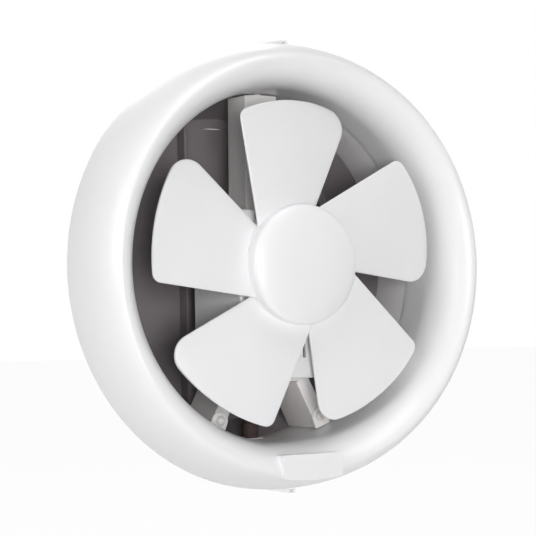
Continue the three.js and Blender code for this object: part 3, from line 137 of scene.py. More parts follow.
class Shader:
    """The node tree of one material or of the world."""

    def __init__(self, owner: bpy.types.ID) -> None:
        """Empties the owner's node tree.

        Args:
            owner: A material or a world.
        """
        owner.use_nodes = True
        self.tree = owner.node_tree
        self.tree.nodes.clear()

    def node(
        self,
        kind: str,
        settings: dict[str, object] | None = None,
        inputs: dict[object, object] | None = None,
        output: object = 0,
    ) -> Signal:
        """Adds a node.

        Args:
            kind: The node's type name.
            settings: Properties of the node, which are set first.
            inputs: Socket names or numbers with a value or a signal for each.
            output: Name or number of the output that is wanted.

        Returns:
            That output, or the last input's owner for a node without outputs.
        """
        made = self.tree.nodes.new(kind)
        for name, value in (settings or {}).items():
            setattr(made, name, value)
        for key, value in (inputs or {}).items():
            if isinstance(value, Signal):
                self.tree.links.new(value.socket, made.inputs[key])
            else:
                made.inputs[key].default_value = value
        return Signal(self, made.outputs[output]) if len(made.outputs) else Signal(self, made.inputs[0])

    def place(self) -> Signal:
        """The point on the piece, in metres, in the frame at rest."""
        return self.node("ShaderNodeTexCoord", output="Object")

    def noise(self, grain: float, detail: float = 2.0, stretch: Triple = (1.0, 1.0, 1.0)) -> Signal:
        """Cloudy noise from 0 to 1.

        Args:
            grain: Size of a cloud in millimetres.
            detail: Number of finer layers.
            stretch: How much denser the noise is along each axis.

        Returns:
            The noise value.
        """
        point = self.node(
            "ShaderNodeVectorMath", {"operation": "MULTIPLY"}, {0: self.place(), 1: stretch}
        )
        return self.node(
            "ShaderNodeTexNoise", inputs={"Vector": point, "Scale": 1 / (grain * MM), "Detail": detail}
        )

    def tint(self, share: Signal, low: Colour, high: Colour) -> Signal:
        """A colour between two colours.

        Args:
            share: 0 for the low colour and 1 for the high one.
            low: The first colour.
            high: The second colour.

        Returns:
            The mixed colour.
        """
        return self.node(
            "ShaderNodeMix",
            {"data_type": "RGBA"},
            {0: share, 6: low.linear, 7: high.linear},
            output=2,
        )

    def bump(self, height: Signal, depth: float, strength: float) -> Signal:
        """A normal from a height.

        Args:
            height: Height from 0 to 1.
            depth: Depth of the relief in millimetres.
            strength: How strongly it shows.

        Returns:
            The normal.
        """
        return self.node(
            "ShaderNodeBump", inputs={"Height": height, "Distance": depth * MM, "Strength": strength}
        )

    def surface(self, **sockets: object) -> Signal:
        """A Principled shader, with its socket names written with underscores."""
        named = {name.replace("_", " "): value for name, value in sockets.items()}
        return self.node("ShaderNodeBsdfPrincipled", inputs=named)

    def finish(self, shading: Signal, kind: str = "ShaderNodeOutputMaterial") -> None:
        """Joins the shading to the tree's output."""
        self.node(kind, inputs={"Surface": shading})


# ---- Finishes ----
@dataclass(frozen=True)
class Colour:
    """A colour as a person reads it from a picture, from 0 to 255."""

    red: float
    green: float
    blue: float

    @property
    def linear(self) -> tuple[float, float, float, float]:
        """The colour in light units, as shader sockets take it.

        Returns:
            Red, green, blue and alpha.
        """
        shares = (channel / 255 for channel in (self.red, self.green, self.blue))
        light = (s / 12.92 if s <= 0.04045 else ((s + 0.055) / 1.055) ** 2.4 for s in shares)
        return (*light, 1.0)

    def scaled(self, by: float) -> Colour:
        """The same tint, lighter or darker."""
        return Colour(self.red * by, self.green * by, self.blue * by)


class Grain(Enum):
    """Kinds of surface relief."""

    MOULDED = "moulded"
    PAINTED = "painted"
    PLATED = "plated"
    FOAM = "foam"
    LAMINATED = "laminated"
    WOUND = "wound"


@dataclass(frozen=True)
class Finish:
    """A surface finish that can be put on any piece.

    Attributes:
        name: Name of the material.
        slot: The material slot that the finish stands for. It is not used.
        colour: Base colour.
        roughness: Mean roughness.
        grain: Kind of relief.
        grain_size: Size of the relief in millimetres.
        relief: Depth of the relief in millimetres.
        metallic: 1 for bare metal.
        mottle: How much the colour varies.
        coat: Weight of a clear gloss layer.
    """

    name: str
    slot: str
    colour: Colour
    roughness: float
    grain: Grain = Grain.MOULDED
    grain_size: float = 0.8
    relief: float = 0.02
    metallic: float = 0.0
    mottle: float = 0.015
    coat: float = 0.0

    def relief_height(self, shader: Shader) -> Signal:
        """The height of the relief over the surface, from 0 to 1.

        Args:
            shader: The material that is being made.

        Returns:
            The height as a signal.
        """
        if self.grain is Grain.LAMINATED:
            return self._bands(shader, "Y")
        if self.grain is Grain.WOUND:
            return self._bands(shader, "X")
        if self.grain is Grain.FOAM:
            return shader.node(
                "ShaderNodeTexVoronoi",
                inputs={"Vector": shader.place(), "Scale": 1 / (self.grain_size * MM)},
                output="Distance",
            )
        detail = 4.0 if self.grain is Grain.PLATED else 2.0
        return shader.noise(self.grain_size, detail)

    def _bands(self, shader: Shader, axis: str) -> Signal:
        """Parallel bands along an axis, one for each sheet of steel or turn of wire.

        Args:
            shader: The material that is being made.
            axis: The axis across the bands.

        Returns:
            The height of the bands as a signal.
        """
        per_metre = 1 / (self.grain_size * MM)
        wave_scale = per_metre * math.tau / 20
        return shader.node(
            "ShaderNodeTexWave",
            {"bands_direction": axis, "wave_profile": "SIN"},
            {"Vector": shader.place(), "Scale": wave_scale, "Distortion": 0.0},
            output="Fac",
        )

    def material(self) -> bpy.types.Material:
        """Builds the material.

        Returns:
            A material with a procedural colour, roughness and relief.
        """
        made = bpy.data.materials.new(self.name)
        shader = Shader(made)
        clouds = shader.noise(35.0, 3.0)
        height = self.relief_height(shader)
        streaks = shader.noise(6.0, 4.0, (1.0, 2.5, 1.0))
        share = clouds * 0.6 + height * 0.4
        colour = shader.tint(
            share, self.colour.scaled(1 - self.mottle), self.colour.scaled(1 + self.mottle)
        )
        roughness = self.roughness * (0.88 + 0.24 * streaks)
        shader.finish(
            shader.surface(
                Base_Color=colour,
                Roughness=roughness,
                Metallic=self.metallic,
                Coat_Weight=self.coat,
                Coat_Roughness=0.12,
                Normal=shader.bump(height, self.relief, 0.6),
            )
        )
        return made


WHITE_PLASTIC = Finish(
    "white_moulded_plastic", "white_plastic", Colour(240, 240, 241), 0.36, relief=0.008, coat=0.15
)
BLADE_PLASTIC = Finish(
    "blade_plastic", "blade_plastic", Colour(236, 236, 237), 0.42, grain_size=0.6, relief=0.008
)
FRAME_PLASTIC = Finish("frame_plastic", "frame_plastic", Colour(234, 232, 231), 0.45, relief=0.012)
DARK_PLASTIC = Finish("dark_plastic", "dark_plastic", Colour(126, 120, 123), 0.6, mottle=0.03)
FLAP_PLASTIC = Finish("flap_plastic", "flap_plastic", Colour(128, 122, 125), 0.65, mottle=0.03)
PAINTED_STEEL = Finish(
    "bracket_paint", "bracket_paint", Colour(236, 233, 231), 0.48, Grain.PAINTED, 1.6, 0.03
)
GLAND_RUBBER = Finish("gland_rubber", "gland_rubber", Colour(70, 54, 52), 0.7, mottle=0.06)
GASKET_FOAM = Finish(
    "gasket_foam", "gasket_rubber", Colour(46, 46, 48), 0.92, Grain.FOAM, 0.45, 0.12, mottle=0.15
)
ZINC = Finish(
    "zinc_plated_steel", "zinc_steel", Colour(190, 192, 190), 0.34, Grain.PLATED, 0.35, 0.01, 1.0, 0.06
)
LAMINATIONS = Finish(
    "laminated_steel", "laminations", Colour(112, 114, 118), 0.5, Grain.LAMINATED, 0.5, 0.08, 0.8, 0.08
)
COPPER = Finish(
    "copper_winding", "copper_wire", Colour(176, 104, 62), 0.38, Grain.WOUND, 0.35, 0.1, 0.9, 0.12
)
BRONZE = Finish("sintered_bronze", "bronze", Colour(164, 128, 78), 0.5, Grain.PLATED, 0.2, 0.03, 0.8, 0.08)
NYLON = Finish("natural_nylon", "nylon", Colour(217, 212, 196), 0.5, relief=0.01, mottle=0.03)


# ---- Outlines ----
def eased(points: Sequence[Pair], radius: float, steps: int = 3, least_turn: float = 20.0) -> list[Pair]:
    """Rounds the corners of a closed outline.

    Args:
        points: The corners in order.
        radius: Radius of the rounding, which short sides limit.
        steps: Faces in each rounded corner.
        least_turn: Corners that turn less than this, in degrees, stay.

    Returns:
        The outline with rounded corners. Points on the axis stay as they are.
    """
    result: list[Pair] = []
    count = len(points)
    for i, corner in enumerate(points):
        here = Vector(corner)
        back = Vector(points[i - 1]) - here
        ahead = Vector(points[(i + 1) % count]) - here
        inside = back.angle(ahead, math.pi)
        if corner[0] == 0 or math.degrees(math.pi - inside) < least_turn:
            result.append(corner)
            continue
        reach = min(radius / math.tan(inside / 2), 0.45 * back.length, 0.45 * ahead.length)
        start = here + back.normalized() * reach
        end = here + ahead.normalized() * reach
        for k in range(steps + 1):
            t = k / steps
            point = start * (1 - t) ** 2 + here * (2 * t * (1 - t)) + end * t**2
            result.append((point.x, point.y))
    return result


def bezier(start: Pair, first: Pair, second: Pair, end: Pair, steps: int) -> list[Pair]:
    """Points of a cubic curve, its start and end included.

    Args:
        start: Where it starts.
        first: The handle of its start.
        second: The handle of its end.
        end: Where it ends.
        steps: How many straight pieces it has.

    Returns:
        The points in order.
    """
    result = []
    for k in range(steps + 1):
        t = k / steps
        weights = ((1 - t) ** 3, 3 * t * (1 - t) ** 2, 3 * t * t * (1 - t), t**3)
        corners = (start, first, second, end)
        result.append(tuple(sum(w * c[axis] for w, c in zip(weights, corners)) for axis in (0, 1)))
    return result


def rectangle(x0: float, x1: float, z0: float, z1: float, corner: float = 0.0, steps: int = 6) -> list[Pair]:
    """A rectangle with round corners."""
    sharp = [(x0, z0), (x1, z0), (x1, z1), (x0, z1)]
    return eased(sharp, corner, steps) if corner else sharp


def bar_outline(start: Pair, end: Pair, half: float) -> list[Pair]:
    """The outline of a straight bar of a half width between two points."""
    along = (Vector(end) - Vector(start)).normalized() * half
    return [
        (start[0] - along.y, start[1] + along.x),
        (start[0] + along.y, start[1] - along.x),
        (end[0] + along.y, end[1] - along.x),
        (end[0] - along.y, end[1] + along.x),
    ]


def round_ended(start: Vector, end: Vector, half: float, steps: int = 24) -> list[Pair]:
    """The outline of a straight bar whose start is a half circle.

    Args:
        start: Middle of the half circle.
        end: Middle of the square end.
        half: Half the width of the bar.
        steps: Straight pieces in the half circle.

    Returns:
        The corners in order.
    """
    along = (end - start).normalized() * half
    side = Vector((-along.y, along.x))
    turns = (math.pi * k / steps for k in range(steps + 1))
    arc = [start + side * math.cos(turn) - along * math.sin(turn) for turn in turns]
    return [tuple(point) for point in (*arc, end - side, end + side)]


def on_circle(radius: float, angle: float) -> Pair:
    """The point of a circle at an angle in radians."""
    return radius * math.cos(angle), radius * math.sin(angle)


# ---- Solids ----
class Solid:
    """A closed mesh in millimetres, which can be joined and cut."""

    def __init__(self, mesh: bmesh.types.BMesh | None = None) -> None:
        """Starts from a mesh, or from nothing."""
        self.mesh = mesh or bmesh.new()

    @classmethod
    def turned(cls, profile: Sequence[Pair], sides: int = 96, ease: float = 0.0) -> Solid:
        """A solid turned about the Y axis.

        Args:
            profile: Points of radius and y. Without a point on the axis it makes a ring.
            sides: Faces around the axis.
            ease: Radius of the profile's corners.

        Returns:
            The solid.
        """
        points = eased(profile, ease) if ease else list(profile)
        made = bmesh.new()
        rings = []
        for radius, y in points:
            if radius < 1e-6:
                rings.append([made.verts.new((0, y, 0))])
                continue
            angles = (math.tau * k / sides for k in range(sides))
            rings.append([made.verts.new((radius * math.cos(a), y, radius * math.sin(a))) for a in angles])
        open_ends = len(rings[0]) == 1 and len(rings[-1]) == 1
        pairs = list(zip(rings, rings[1:])) + ([] if open_ends else [(rings[-1], rings[0])])
        for low, high in pairs:
            for k in range(sides):
                corners = [low[k % len(low)], low[(k + 1) % len(low)]]
                corners += [high[(k + 1) % len(high)], high[k % len(high)]]
                unique = list(dict.fromkeys(corners))
                if len(unique) > 2:
                    made.faces.new(unique)
        bmesh.ops.recalc_face_normals(made, faces=made.faces)
        return cls(made)

    @classmethod
    def pushed(cls, outline: Sequence[Pair], y0: float, y1: float, ease: float = 0.0) -> Solid:
        """An outline of x and z pushed along Y.

        Args:
            outline: The corners in order.
            y0: Where it starts.
            y1: Where it ends.
            ease: Radius of the edges around the two flat faces.

        Returns:
            The solid.
        """
        made = bmesh.new()
        low = [made.verts.new((x, y0, z)) for x, z in outline]
        high = [made.verts.new((x, y1, z)) for x, z in outline]
        caps = [made.faces.new(low), made.faces.new(list(reversed(high)))]
        for k in range(len(outline)):
            n = (k + 1) % len(outline)
            made.faces.new((low[n], low[k], high[k], high[n]))
        bmesh.ops.recalc_face_normals(made, faces=made.faces)
        if ease:
            edges = list({edge for cap in caps for edge in cap.edges})
            bmesh.ops.bevel(made, geom=edges, offset=ease, segments=3, profile=0.5, affect="EDGES")
        return cls(made)

    @classmethod
    def block(cls, low: Triple, high: Triple, ease: float = 0.0) -> Solid:
        """A block between two corners, with its edges eased.

        Args:
            low: The corner with the smallest coordinates.
            high: The corner with the largest coordinates.
            ease: Radius of all edges.

        Returns:
            The solid.
        """
        made = cls.pushed([(low[0], low[2]), (high[0], low[2]), (high[0], high[2]), (low[0], high[2])],
                          low[1], high[1])
        if ease:
            edges = list(made.mesh.edges)
            bmesh.ops.bevel(made.mesh, geom=edges, offset=ease, segments=3, profile=0.5, affect="EDGES")
        return made

    @classmethod
    def bar(cls, radius: float, y0: float, y1: float, centre: Pair = (0, 0), sides: int = 48,
            ease: float = 0.0) -> Solid:
        """A round bar along Y through a point of x and z."""
        profile = [(0, y0), (radius, y0), (radius, y1), (0, y1)]
        return cls.turned(profile, sides, ease).moved((centre[0], 0, centre[1]))

    @classmethod
    def upright(cls, radius: float, z0: float, z1: float, x: float, y: float, sides: int = 48,
                ease: float = 0.0) -> Solid:
        """A round bar along Z through a point of x and y."""
        made = cls.bar(radius, z0, z1, (0, 0), sides, ease)
        return made.changed(Matrix.Rotation(math.pi / 2, 4, "X")).moved((x, y, 0))

    @classmethod
    def tube(cls, path: Sequence[Vector], radius: float, sides: int = 10) -> Solid:
        """A wire along a path, with round ends.

        Args:
            path: Points of the wire's centre line.
            radius: Radius of the wire.
            sides: Faces around the wire.

        Returns:
            The solid.
        """
        made = bmesh.new()
        rings = []
        up = Vector((0, 0, 1))
        last = len(path) - 1
        for i, point in enumerate(path):
            along = (path[min(i + 1, last)] - path[max(i - 1, 0)]).normalized()
            up = (up - along * up.dot(along)).normalized()
            side = along.cross(up)
            angles = [math.tau * k / sides for k in range(sides)]
            rings.append([made.verts.new(point + (up * math.cos(a) + side * math.sin(a)) * radius)
                          for a in angles])
        for low, high in zip(rings, rings[1:]):
            for k in range(sides):
                n = (k + 1) % sides
                made.faces.new((low[k], low[n], high[n], high[k]))
        for ring, end, before in ((rings[0], path[0], path[1]), (rings[-1], path[-1], path[-2])):
            tip = made.verts.new(end + (end - before).normalized() * radius * 0.7)
            for k in range(sides):
                made.faces.new((ring[k], ring[(k + 1) % sides], tip))
        bmesh.ops.recalc_face_normals(made, faces=made.faces)
        return cls(made)

    def changed(self, matrix: Matrix) -> Solid:
        """Turns, moves or mirrors the solid.

        Args:
            matrix: The change, in millimetres.

        Returns:
            The same solid.
        """
        bmesh.ops.transform(self.mesh, matrix=matrix, verts=self.mesh.verts)
        if matrix.determinant() < 0:
            bmesh.ops.reverse_faces(self.mesh, faces=self.mesh.faces)
        return self

    def moved(self, by: Triple) -> Solid:
        """Moves the solid."""
        return self.changed(Matrix.Translation(by))

    def mirrored(self, axis: Triple) -> Solid:
        """A mirrored copy, across the plane through the origin that is square to an axis."""
        return self.copied().changed(Matrix.Scale(-1, 4, Vector(axis)))

    def copied(self) -> Solid:
        """A copy of the solid."""
        return Solid(self.mesh.copy())

    def _as_object(self, name: str, collection: bpy.types.Collection) -> bpy.types.Object:
        """Puts the mesh on a new object in a collection.

        Args:
            name: Name of the object.
            collection: The collection that takes it.

        Returns:
            The object.
        """
        data = bpy.data.meshes.new(name)
        self.mesh.to_mesh(data)
        made = bpy.data.objects.new(name, data)
        collection.objects.link(made)
        return made

    def _combined(self, operation: str, others: Iterable[Solid]) -> Solid:
        """Joins or cuts with a Boolean modifier and keeps the result.

        Args:
            operation: UNION or DIFFERENCE.
            others: The solids to add or to take away.

        Returns:
            The result as a new solid.
        """
        scene = bpy.context.scene
        bench = bpy.data.collections.new("bench")
        scene.collection.children.link(bench)
        base = self._as_object("base", scene.collection)
        tools = [other._as_object("tool", bench) for other in others]
        modifier = base.modifiers.new("combine", "BOOLEAN")
        modifier.operation = operation
        modifier.solver = "MANIFOLD"
        modifier.operand_type = "COLLECTION"
        modifier.collection = bench
        seen = base.evaluated_get(bpy.context.evaluated_depsgraph_get())
        result = bmesh.new()
        result.from_mesh(seen.to_mesh())
        seen.to_mesh_clear()
        for used in [base, *tools]:
            data = used.data
            bpy.data.objects.remove(used)
            bpy.data.meshes.remove(data)
        bpy.data.collections.remove(bench)
        bmesh.ops.remove_doubles(result, verts=result.verts, dist=1e-4)
        return Solid(result)

    def joined(self, *others: Solid) -> Solid:
        """This solid and others as one."""
        return self._combined("UNION", others)

    def cut(self, *others: Solid) -> Solid:
        """This solid without the room of others."""
        return self._combined("DIFFERENCE", others)

    def piece(
        self,
        name: str,
        body: Body,
        finish: Finish,
        replaces: Sequence[str] = (),
        sharp: float = 32.0,
    ) -> bpy.types.Object:
        """Turns the solid into a finished piece of the fan.

        Args:
            name: Name of the piece.
            body: The body that carries it.
            finish: Its finish.
            replaces: The nodes that it stands for, or its own name if there are none.
            sharp: Edges that turn more than this, in degrees, stay sharp in the shading.

        Returns:
            The piece, in metres.
        """
        bmesh.ops.transform(self.mesh, matrix=Matrix.Scale(MM, 4), verts=self.mesh.verts)
        data = bpy.data.meshes.new(name)
        self.mesh.to_mesh(data)
        data.shade_smooth()
        data.set_sharp_from_angle(angle=math.radians(sharp))
        data.materials.append(Workshop.material(finish))
        made = bpy.data.objects.new(name, data)
        bpy.context.scene.collection.objects.link(made)
        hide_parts(*(replaces or (name,)))
        if body is not None:
            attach(made, body.value)
        log.info("%s: %d faces", name, len(data.polygons))
        return made


class Workshop:
    """Keeps one material for each finish."""

    _made: dict[str, bpy.types.Material] = {}

    @classmethod
    def material(cls, finish: Finish) -> bpy.types.Material:
        """The material of a finish, built when it is first asked for."""
        if finish.name not in cls._made:
            cls._made[finish.name] = finish.material()
        return cls._made[finish.name]

    @classmethod
    def dress(cls, node: str, finish: Finish) -> None:
        """Puts a finish on a node that keeps its own shape."""
        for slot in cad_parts[node].material_slots:
            slot.material = cls.material(finish)
        log.info("%s: finished as %s", node, finish.name)


# ---- Shared places ----
@dataclass(frozen=True)
class Layout:
    """Radii and depths that several sub-assemblies share, in millimetres."""

    throat: float = 108.0
    socket_inner: float = 110.3
    socket_outer: float = 112.3
    socket_bottom: float = 1.5
    duct_inner: float = 108.5
    duct_outer: float = 110.5
    duct_rear: float = 34.0
    flange_front: float = -7.1
    flange_rear: float = -3.1
    flange_radius: float = 131.0
    gasket_inner: float = 122.5
    gasket_outer: float = 129.0
    pane: float = 5.0
    outdoor_flange_front: float = 8.1
    outdoor_flange_rear: float = 12.1
    clamp_circle: float = 117.1
    clamp_hole: float = 2.15
    lower_foot: float = 100.8
    top_foot: float = 94.5
    foot_spread: float = 21.0
    foot_boss: float = 1.2
    seat: float = 0.1
    fit: float = 0.3

    @property
    def clamp_points(self) -> list[Pair]:
        """Centres of the clamp screws."""
        return [on_circle(self.clamp_circle, math.radians(45 + 90 * i)) for i in range(4)]

    @property
    def feet(self) -> dict[str, tuple[Pair, float]]:
        """Centre of each foot of the bracket and the depth that it rests at."""
        spread = math.radians(self.foot_spread)
        return {
            "top": (on_circle(self.top_foot, math.pi / 2), 5.1),
            "left": (on_circle(self.lower_foot, -math.pi / 2 - spread), 0.7),
            "right": (on_circle(self.lower_foot, -math.pi / 2 + spread), 0.7),
        }


LAYOUT = Layout()


# ---- Fasteners ----
@dataclass(frozen=True)
class Screw:
    """A pan head screw with a cross recess. Its head rests on y = 0 and its shank points to +Y."""

    shank: float
    length: float
    head: float
    height: float
    pitch: float = 0.8

    def build(self) -> Solid:
        """The screw's solid, with the thread as fine rings.

        Returns:
            The screw.
        """
        thread = []
        turns = int(self.length * 0.8 / self.pitch)
        start = self.length - turns * self.pitch
        for i in range(turns):
            y = start + i * self.pitch
            thread += [(self.shank * 0.86, y), (self.shank, y + self.pitch / 2)]
        profile = [
            (0, -self.height), (self.head * 0.62, -self.height * 0.96), (self.head * 0.9, -self.height * 0.6),
            (self.head, -self.height * 0.2), (self.head, 0), (self.shank, 0), *thread,
            (self.shank * 0.86, self.length - 0.3), (0, self.length),
        ]
        body = Solid.turned(profile, 32)
        half, reach = self.head * 0.13, self.head * 0.62
        depth = -self.height * 0.45
        bars = [
            Solid.block((-reach, -self.height - 1, -half), (reach, depth, half)),
            Solid.block((-half, -self.height - 1, -reach), (half, depth, reach)),
        ]
        return body.cut(*bars)


@dataclass(frozen=True)
class Nut:
    """A hexagonal nut with chamfered corners, standing on y = 0."""

    bore: float
    corner: float
    height: float

    def build(self) -> Solid:
        """The nut's solid.

        Returns:
            The nut.
        """
        hexagon = [on_circle(self.corner, math.radians(60 * k)) for k in range(6)]
        prism = Solid.pushed(hexagon, 0, self.height, 0.25)
        return prism.cut(Solid.bar(self.bore, -1, self.height + 1, sides=32))


@dataclass
class Fasteners:
    """The clamp screws and nuts and the screws of the bracket's feet."""

    eye: float = 3.5

    def build(self) -> None:
        """Builds the clamp screws, their nuts and the screws of the bracket's feet."""
        lay = LAYOUT
        grip = lay.outdoor_flange_rear - lay.flange_front + 2 * lay.seat
        for i, (x, z) in enumerate(lay.clamp_points, 1):
            screw = Screw(2.0, grip + 5.2, 3.8, 2.6).build().moved((x, lay.flange_front - lay.seat, z))
            screw.piece(f"clamp_screw_{i}", Body.HOUSING, ZINC)
            nut = Nut(2.15, 4.1, 3.2).build().moved((x, lay.outdoor_flange_rear + lay.seat, z))
            nut.piece(f"clamp_nut_{i}", Body.HOUSING, ZINC)
        for foot, ((x, z), seat) in lay.feet.items():
            grip = self.eye + (0 if foot == "top" else lay.foot_boss)
            screw = Screw(1.6, grip + 12, 3.1, 2.2, 0.7).build()
            screw.moved((x, seat - grip - 2 * lay.seat, z))
            screw.piece(f"leg_screw_{foot}", Body.HOUSING, PAINTED_STEEL)


# ---- Bezel ----
@dataclass
class Bezel:
    """The indoor ring with its two catches and the blank plate at the bottom."""

    rim_y: float = -4.5
    crest_width: float = 16.5
    flank: float = 21.5
    crest_round_out: float = 6.0
    crest_round_in: float = 6.5
    mouth_depth: float = 30.5
    mouth_ease: float = 15.5
    wall: float = 2.0
    catch_half: float = 9.0
    catch_front: float = -17.0
    catch_rear: float = -10.0
    catch_post: float = 1.4
    catch_notch: float = 4.0
    badge_half: float = 21.0
    badge_top: float = 113.5
    badge_bottom: float = 129.1
    badge_proud: float = 1.2
    notch_x: float = 16.0
    notch_half: float = 4.5
    notch_depth: float = 4.0

    def __post_init__(self) -> None:
        """Takes the outer radius and the crest's depth from the frame."""
        low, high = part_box("bezel_ring")
        self.rim_radius = high.x / MM
        self.crest_y = low.y / MM

    def contour(self, flank_steps: int = 40, mouth_steps: int = 36) -> list[Pair]:
        """The outside from the rear rim over the crest and down the throat.

        Args:
            flank_steps: Straight pieces of the flank.
            mouth_steps: Straight pieces of the mouth.

        Returns:
            Pairs of radius and y.
        """
        crest = LAYOUT.throat + self.crest_width
        flank = bezier(
            (self.rim_radius, self.rim_y), (self.rim_radius, self.rim_y - self.flank),
            (crest + self.crest_round_out, self.crest_y), (crest, self.crest_y), flank_steps,
        )
        mouth = bezier(
            (crest, self.crest_y), (crest - self.crest_round_in, self.crest_y),
            (LAYOUT.throat, self.crest_y + self.mouth_depth - self.mouth_ease),
            (LAYOUT.throat, self.crest_y + self.mouth_depth), mouth_steps,
        )
        end = (LAYOUT.throat, LAYOUT.socket_bottom - LAYOUT.fit)
        straight = [(LAYOUT.throat, mouth[-1][1] + (end[1] - mouth[-1][1]) * k / 4) for k in range(1, 5)]
        return flank + mouth[1:] + straight

    @staticmethod
    def offset(points: Sequence[Pair], distance: float) -> list[Pair]:
        """Moves a contour towards the hollow inside of the bezel.

        Args:
            points: Pairs of radius and y.
            distance: How far each point moves.

        Returns:
            The moved contour.
        """
        result = []
        for i, (radius, y) in enumerate(points):
            before = Vector(points[max(i - 1, 0)])
            after = Vector(points[min(i + 1, len(points) - 1)])
            along = (after - before).normalized()
            result.append((radius + along.y * distance, y - along.x * distance))
        return result

    def ring(self) -> Solid:
        """The moulded ring with the catch windows and the cord notch.

        Returns:
            The ring.
        """
        outside = self.contour()
        inside = self.offset(outside, self.wall)
        shell = Solid.turned(eased(outside + inside[::-1], 0.5), 240)
        inner = LAYOUT.flange_radius + LAYOUT.fit
        wide = self.catch_half + LAYOUT.fit
        window = [
            Solid.block(
                (-wide, self.catch_front - LAYOUT.fit, min(side * inner, side * 150)),
                (wide, self.catch_rear + LAYOUT.fit, max(side * inner, side * 150)),
            )
            for side in (-1, 1)
        ]
        notch = Solid.pushed(
            rectangle(self.notch_x - self.notch_half, self.notch_x + self.notch_half, -150,
                      -LAYOUT.flange_radius, 1.0),
            self.rim_y - self.notch_depth, 0,
        )
        return shell.cut(*window, notch)

    def catch(self) -> Solid:
        """The top catch: a finger ramp and a post outside, and a hook over the flange inside.

        Returns:
            The catch.
        """
        half, inner = self.catch_half, LAYOUT.flange_radius + LAYOUT.fit
        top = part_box("bezel_catch_top")[1].z / MM
        front, rear, notch, ease = self.catch_front, self.catch_rear, half - self.catch_notch, 0.3
        ramp = Solid.pushed(
            eased([(-half, inner), (notch, inner), (notch, top), (-half, self.rim_radius - 0.5)], 0.35),
            front, rear, ease,
        )
        inset = 0.01
        floor = Solid.block(
            (notch - 1, front + inset, inner + inset), (half - inset, rear, self.rim_radius), ease
        )
        post = Solid.block((half - self.catch_post, front, inner), (half, rear, top), ease)
        hook_rear = LAYOUT.flange_rear + LAYOUT.fit + 1.0
        arm = Solid.block((-half, rear - 0.5, inner), (half, hook_rear, inner + 2), 0.2)
        hook = Solid.block(
            (-half / 2, LAYOUT.flange_rear + LAYOUT.fit, LAYOUT.gasket_outer + 2 * LAYOUT.fit),
            (half / 2, hook_rear, inner + 0.5), 0.15,
        )
        return ramp.joined(floor, post, arm, hook)

    def badge(self) -> Solid:
        """The blank raised plate, whose back follows the ring's surface.

        Returns:
            The plate.
        """
        half, front = self.badge_half, self.crest_y - self.badge_proud
        lean = math.asin(half / self.badge_bottom)
        arc = [on_circle(self.badge_bottom, -math.pi / 2 - lean + 2 * lean * k / 24) for k in range(25)]
        outline = eased([(-half, -self.badge_top), *arc, (half, -self.badge_top)], 1.6, 5)
        pad = Solid.pushed(outline, front, self.crest_y + self.mouth_depth)
        rim = [edge for edge in pad.mesh.edges if all(abs(v.co.y - front) < 1e-6 for v in edge.verts)]
        bmesh.ops.bevel(pad.mesh, geom=rim, offset=1.1, segments=5, profile=0.5, affect="EDGES")
        surface = self.offset(self.contour(), -0.02)
        behind = [(LAYOUT.throat + self.wall, 2.0), (self.rim_radius, 2.0)]
        return pad.cut(Solid.turned([*surface, *behind], 240))

    def build(self) -> None:
        """Builds the ring, the plate and the two catches."""
        self.ring().piece("bezel_ring", Body.HOUSING, WHITE_PLASTIC)
        self.badge().piece("badge_plate", Body.HOUSING, WHITE_PLASTIC, sharp=40)
        catch = self.catch()
        catch.copied().piece("bezel_catch_top", Body.HOUSING, WHITE_PLASTIC)
        catch.mirrored((0, 0, 1)).piece("bezel_catch_bottom", Body.HOUSING, WHITE_PLASTIC)


# ---- Impeller ----
@dataclass(frozen=True)
class BladeEdge:
    """A straight edge of a blade that ends in a round corner at the tip."""

    lean: float
    offset: float
    corner: float
    turn: int

    def angle(self, radius: float, tip: float) -> float:
        """The edge's angle from the blade's axis at a radius.

        Args:
            radius: Distance from the fan's axis.
            tip: Radius of the blade's tip.

        Returns:
            The angle in radians.
        """
        lean = math.radians(self.lean)
        centre_radius = tip - self.corner
        centre_angle = lean + math.asin((self.offset - self.turn * self.corner) / centre_radius)
        tangent = math.hypot(centre_radius * math.cos(centre_angle - lean), self.offset)
        if radius < tangent:
            return lean + math.asin(self.offset / radius)
        reach = (centre_radius**2 + radius**2 - self.corner**2) / (2 * centre_radius * radius)
        return centre_angle + self.turn * math.acos(min(reach, 1.0))


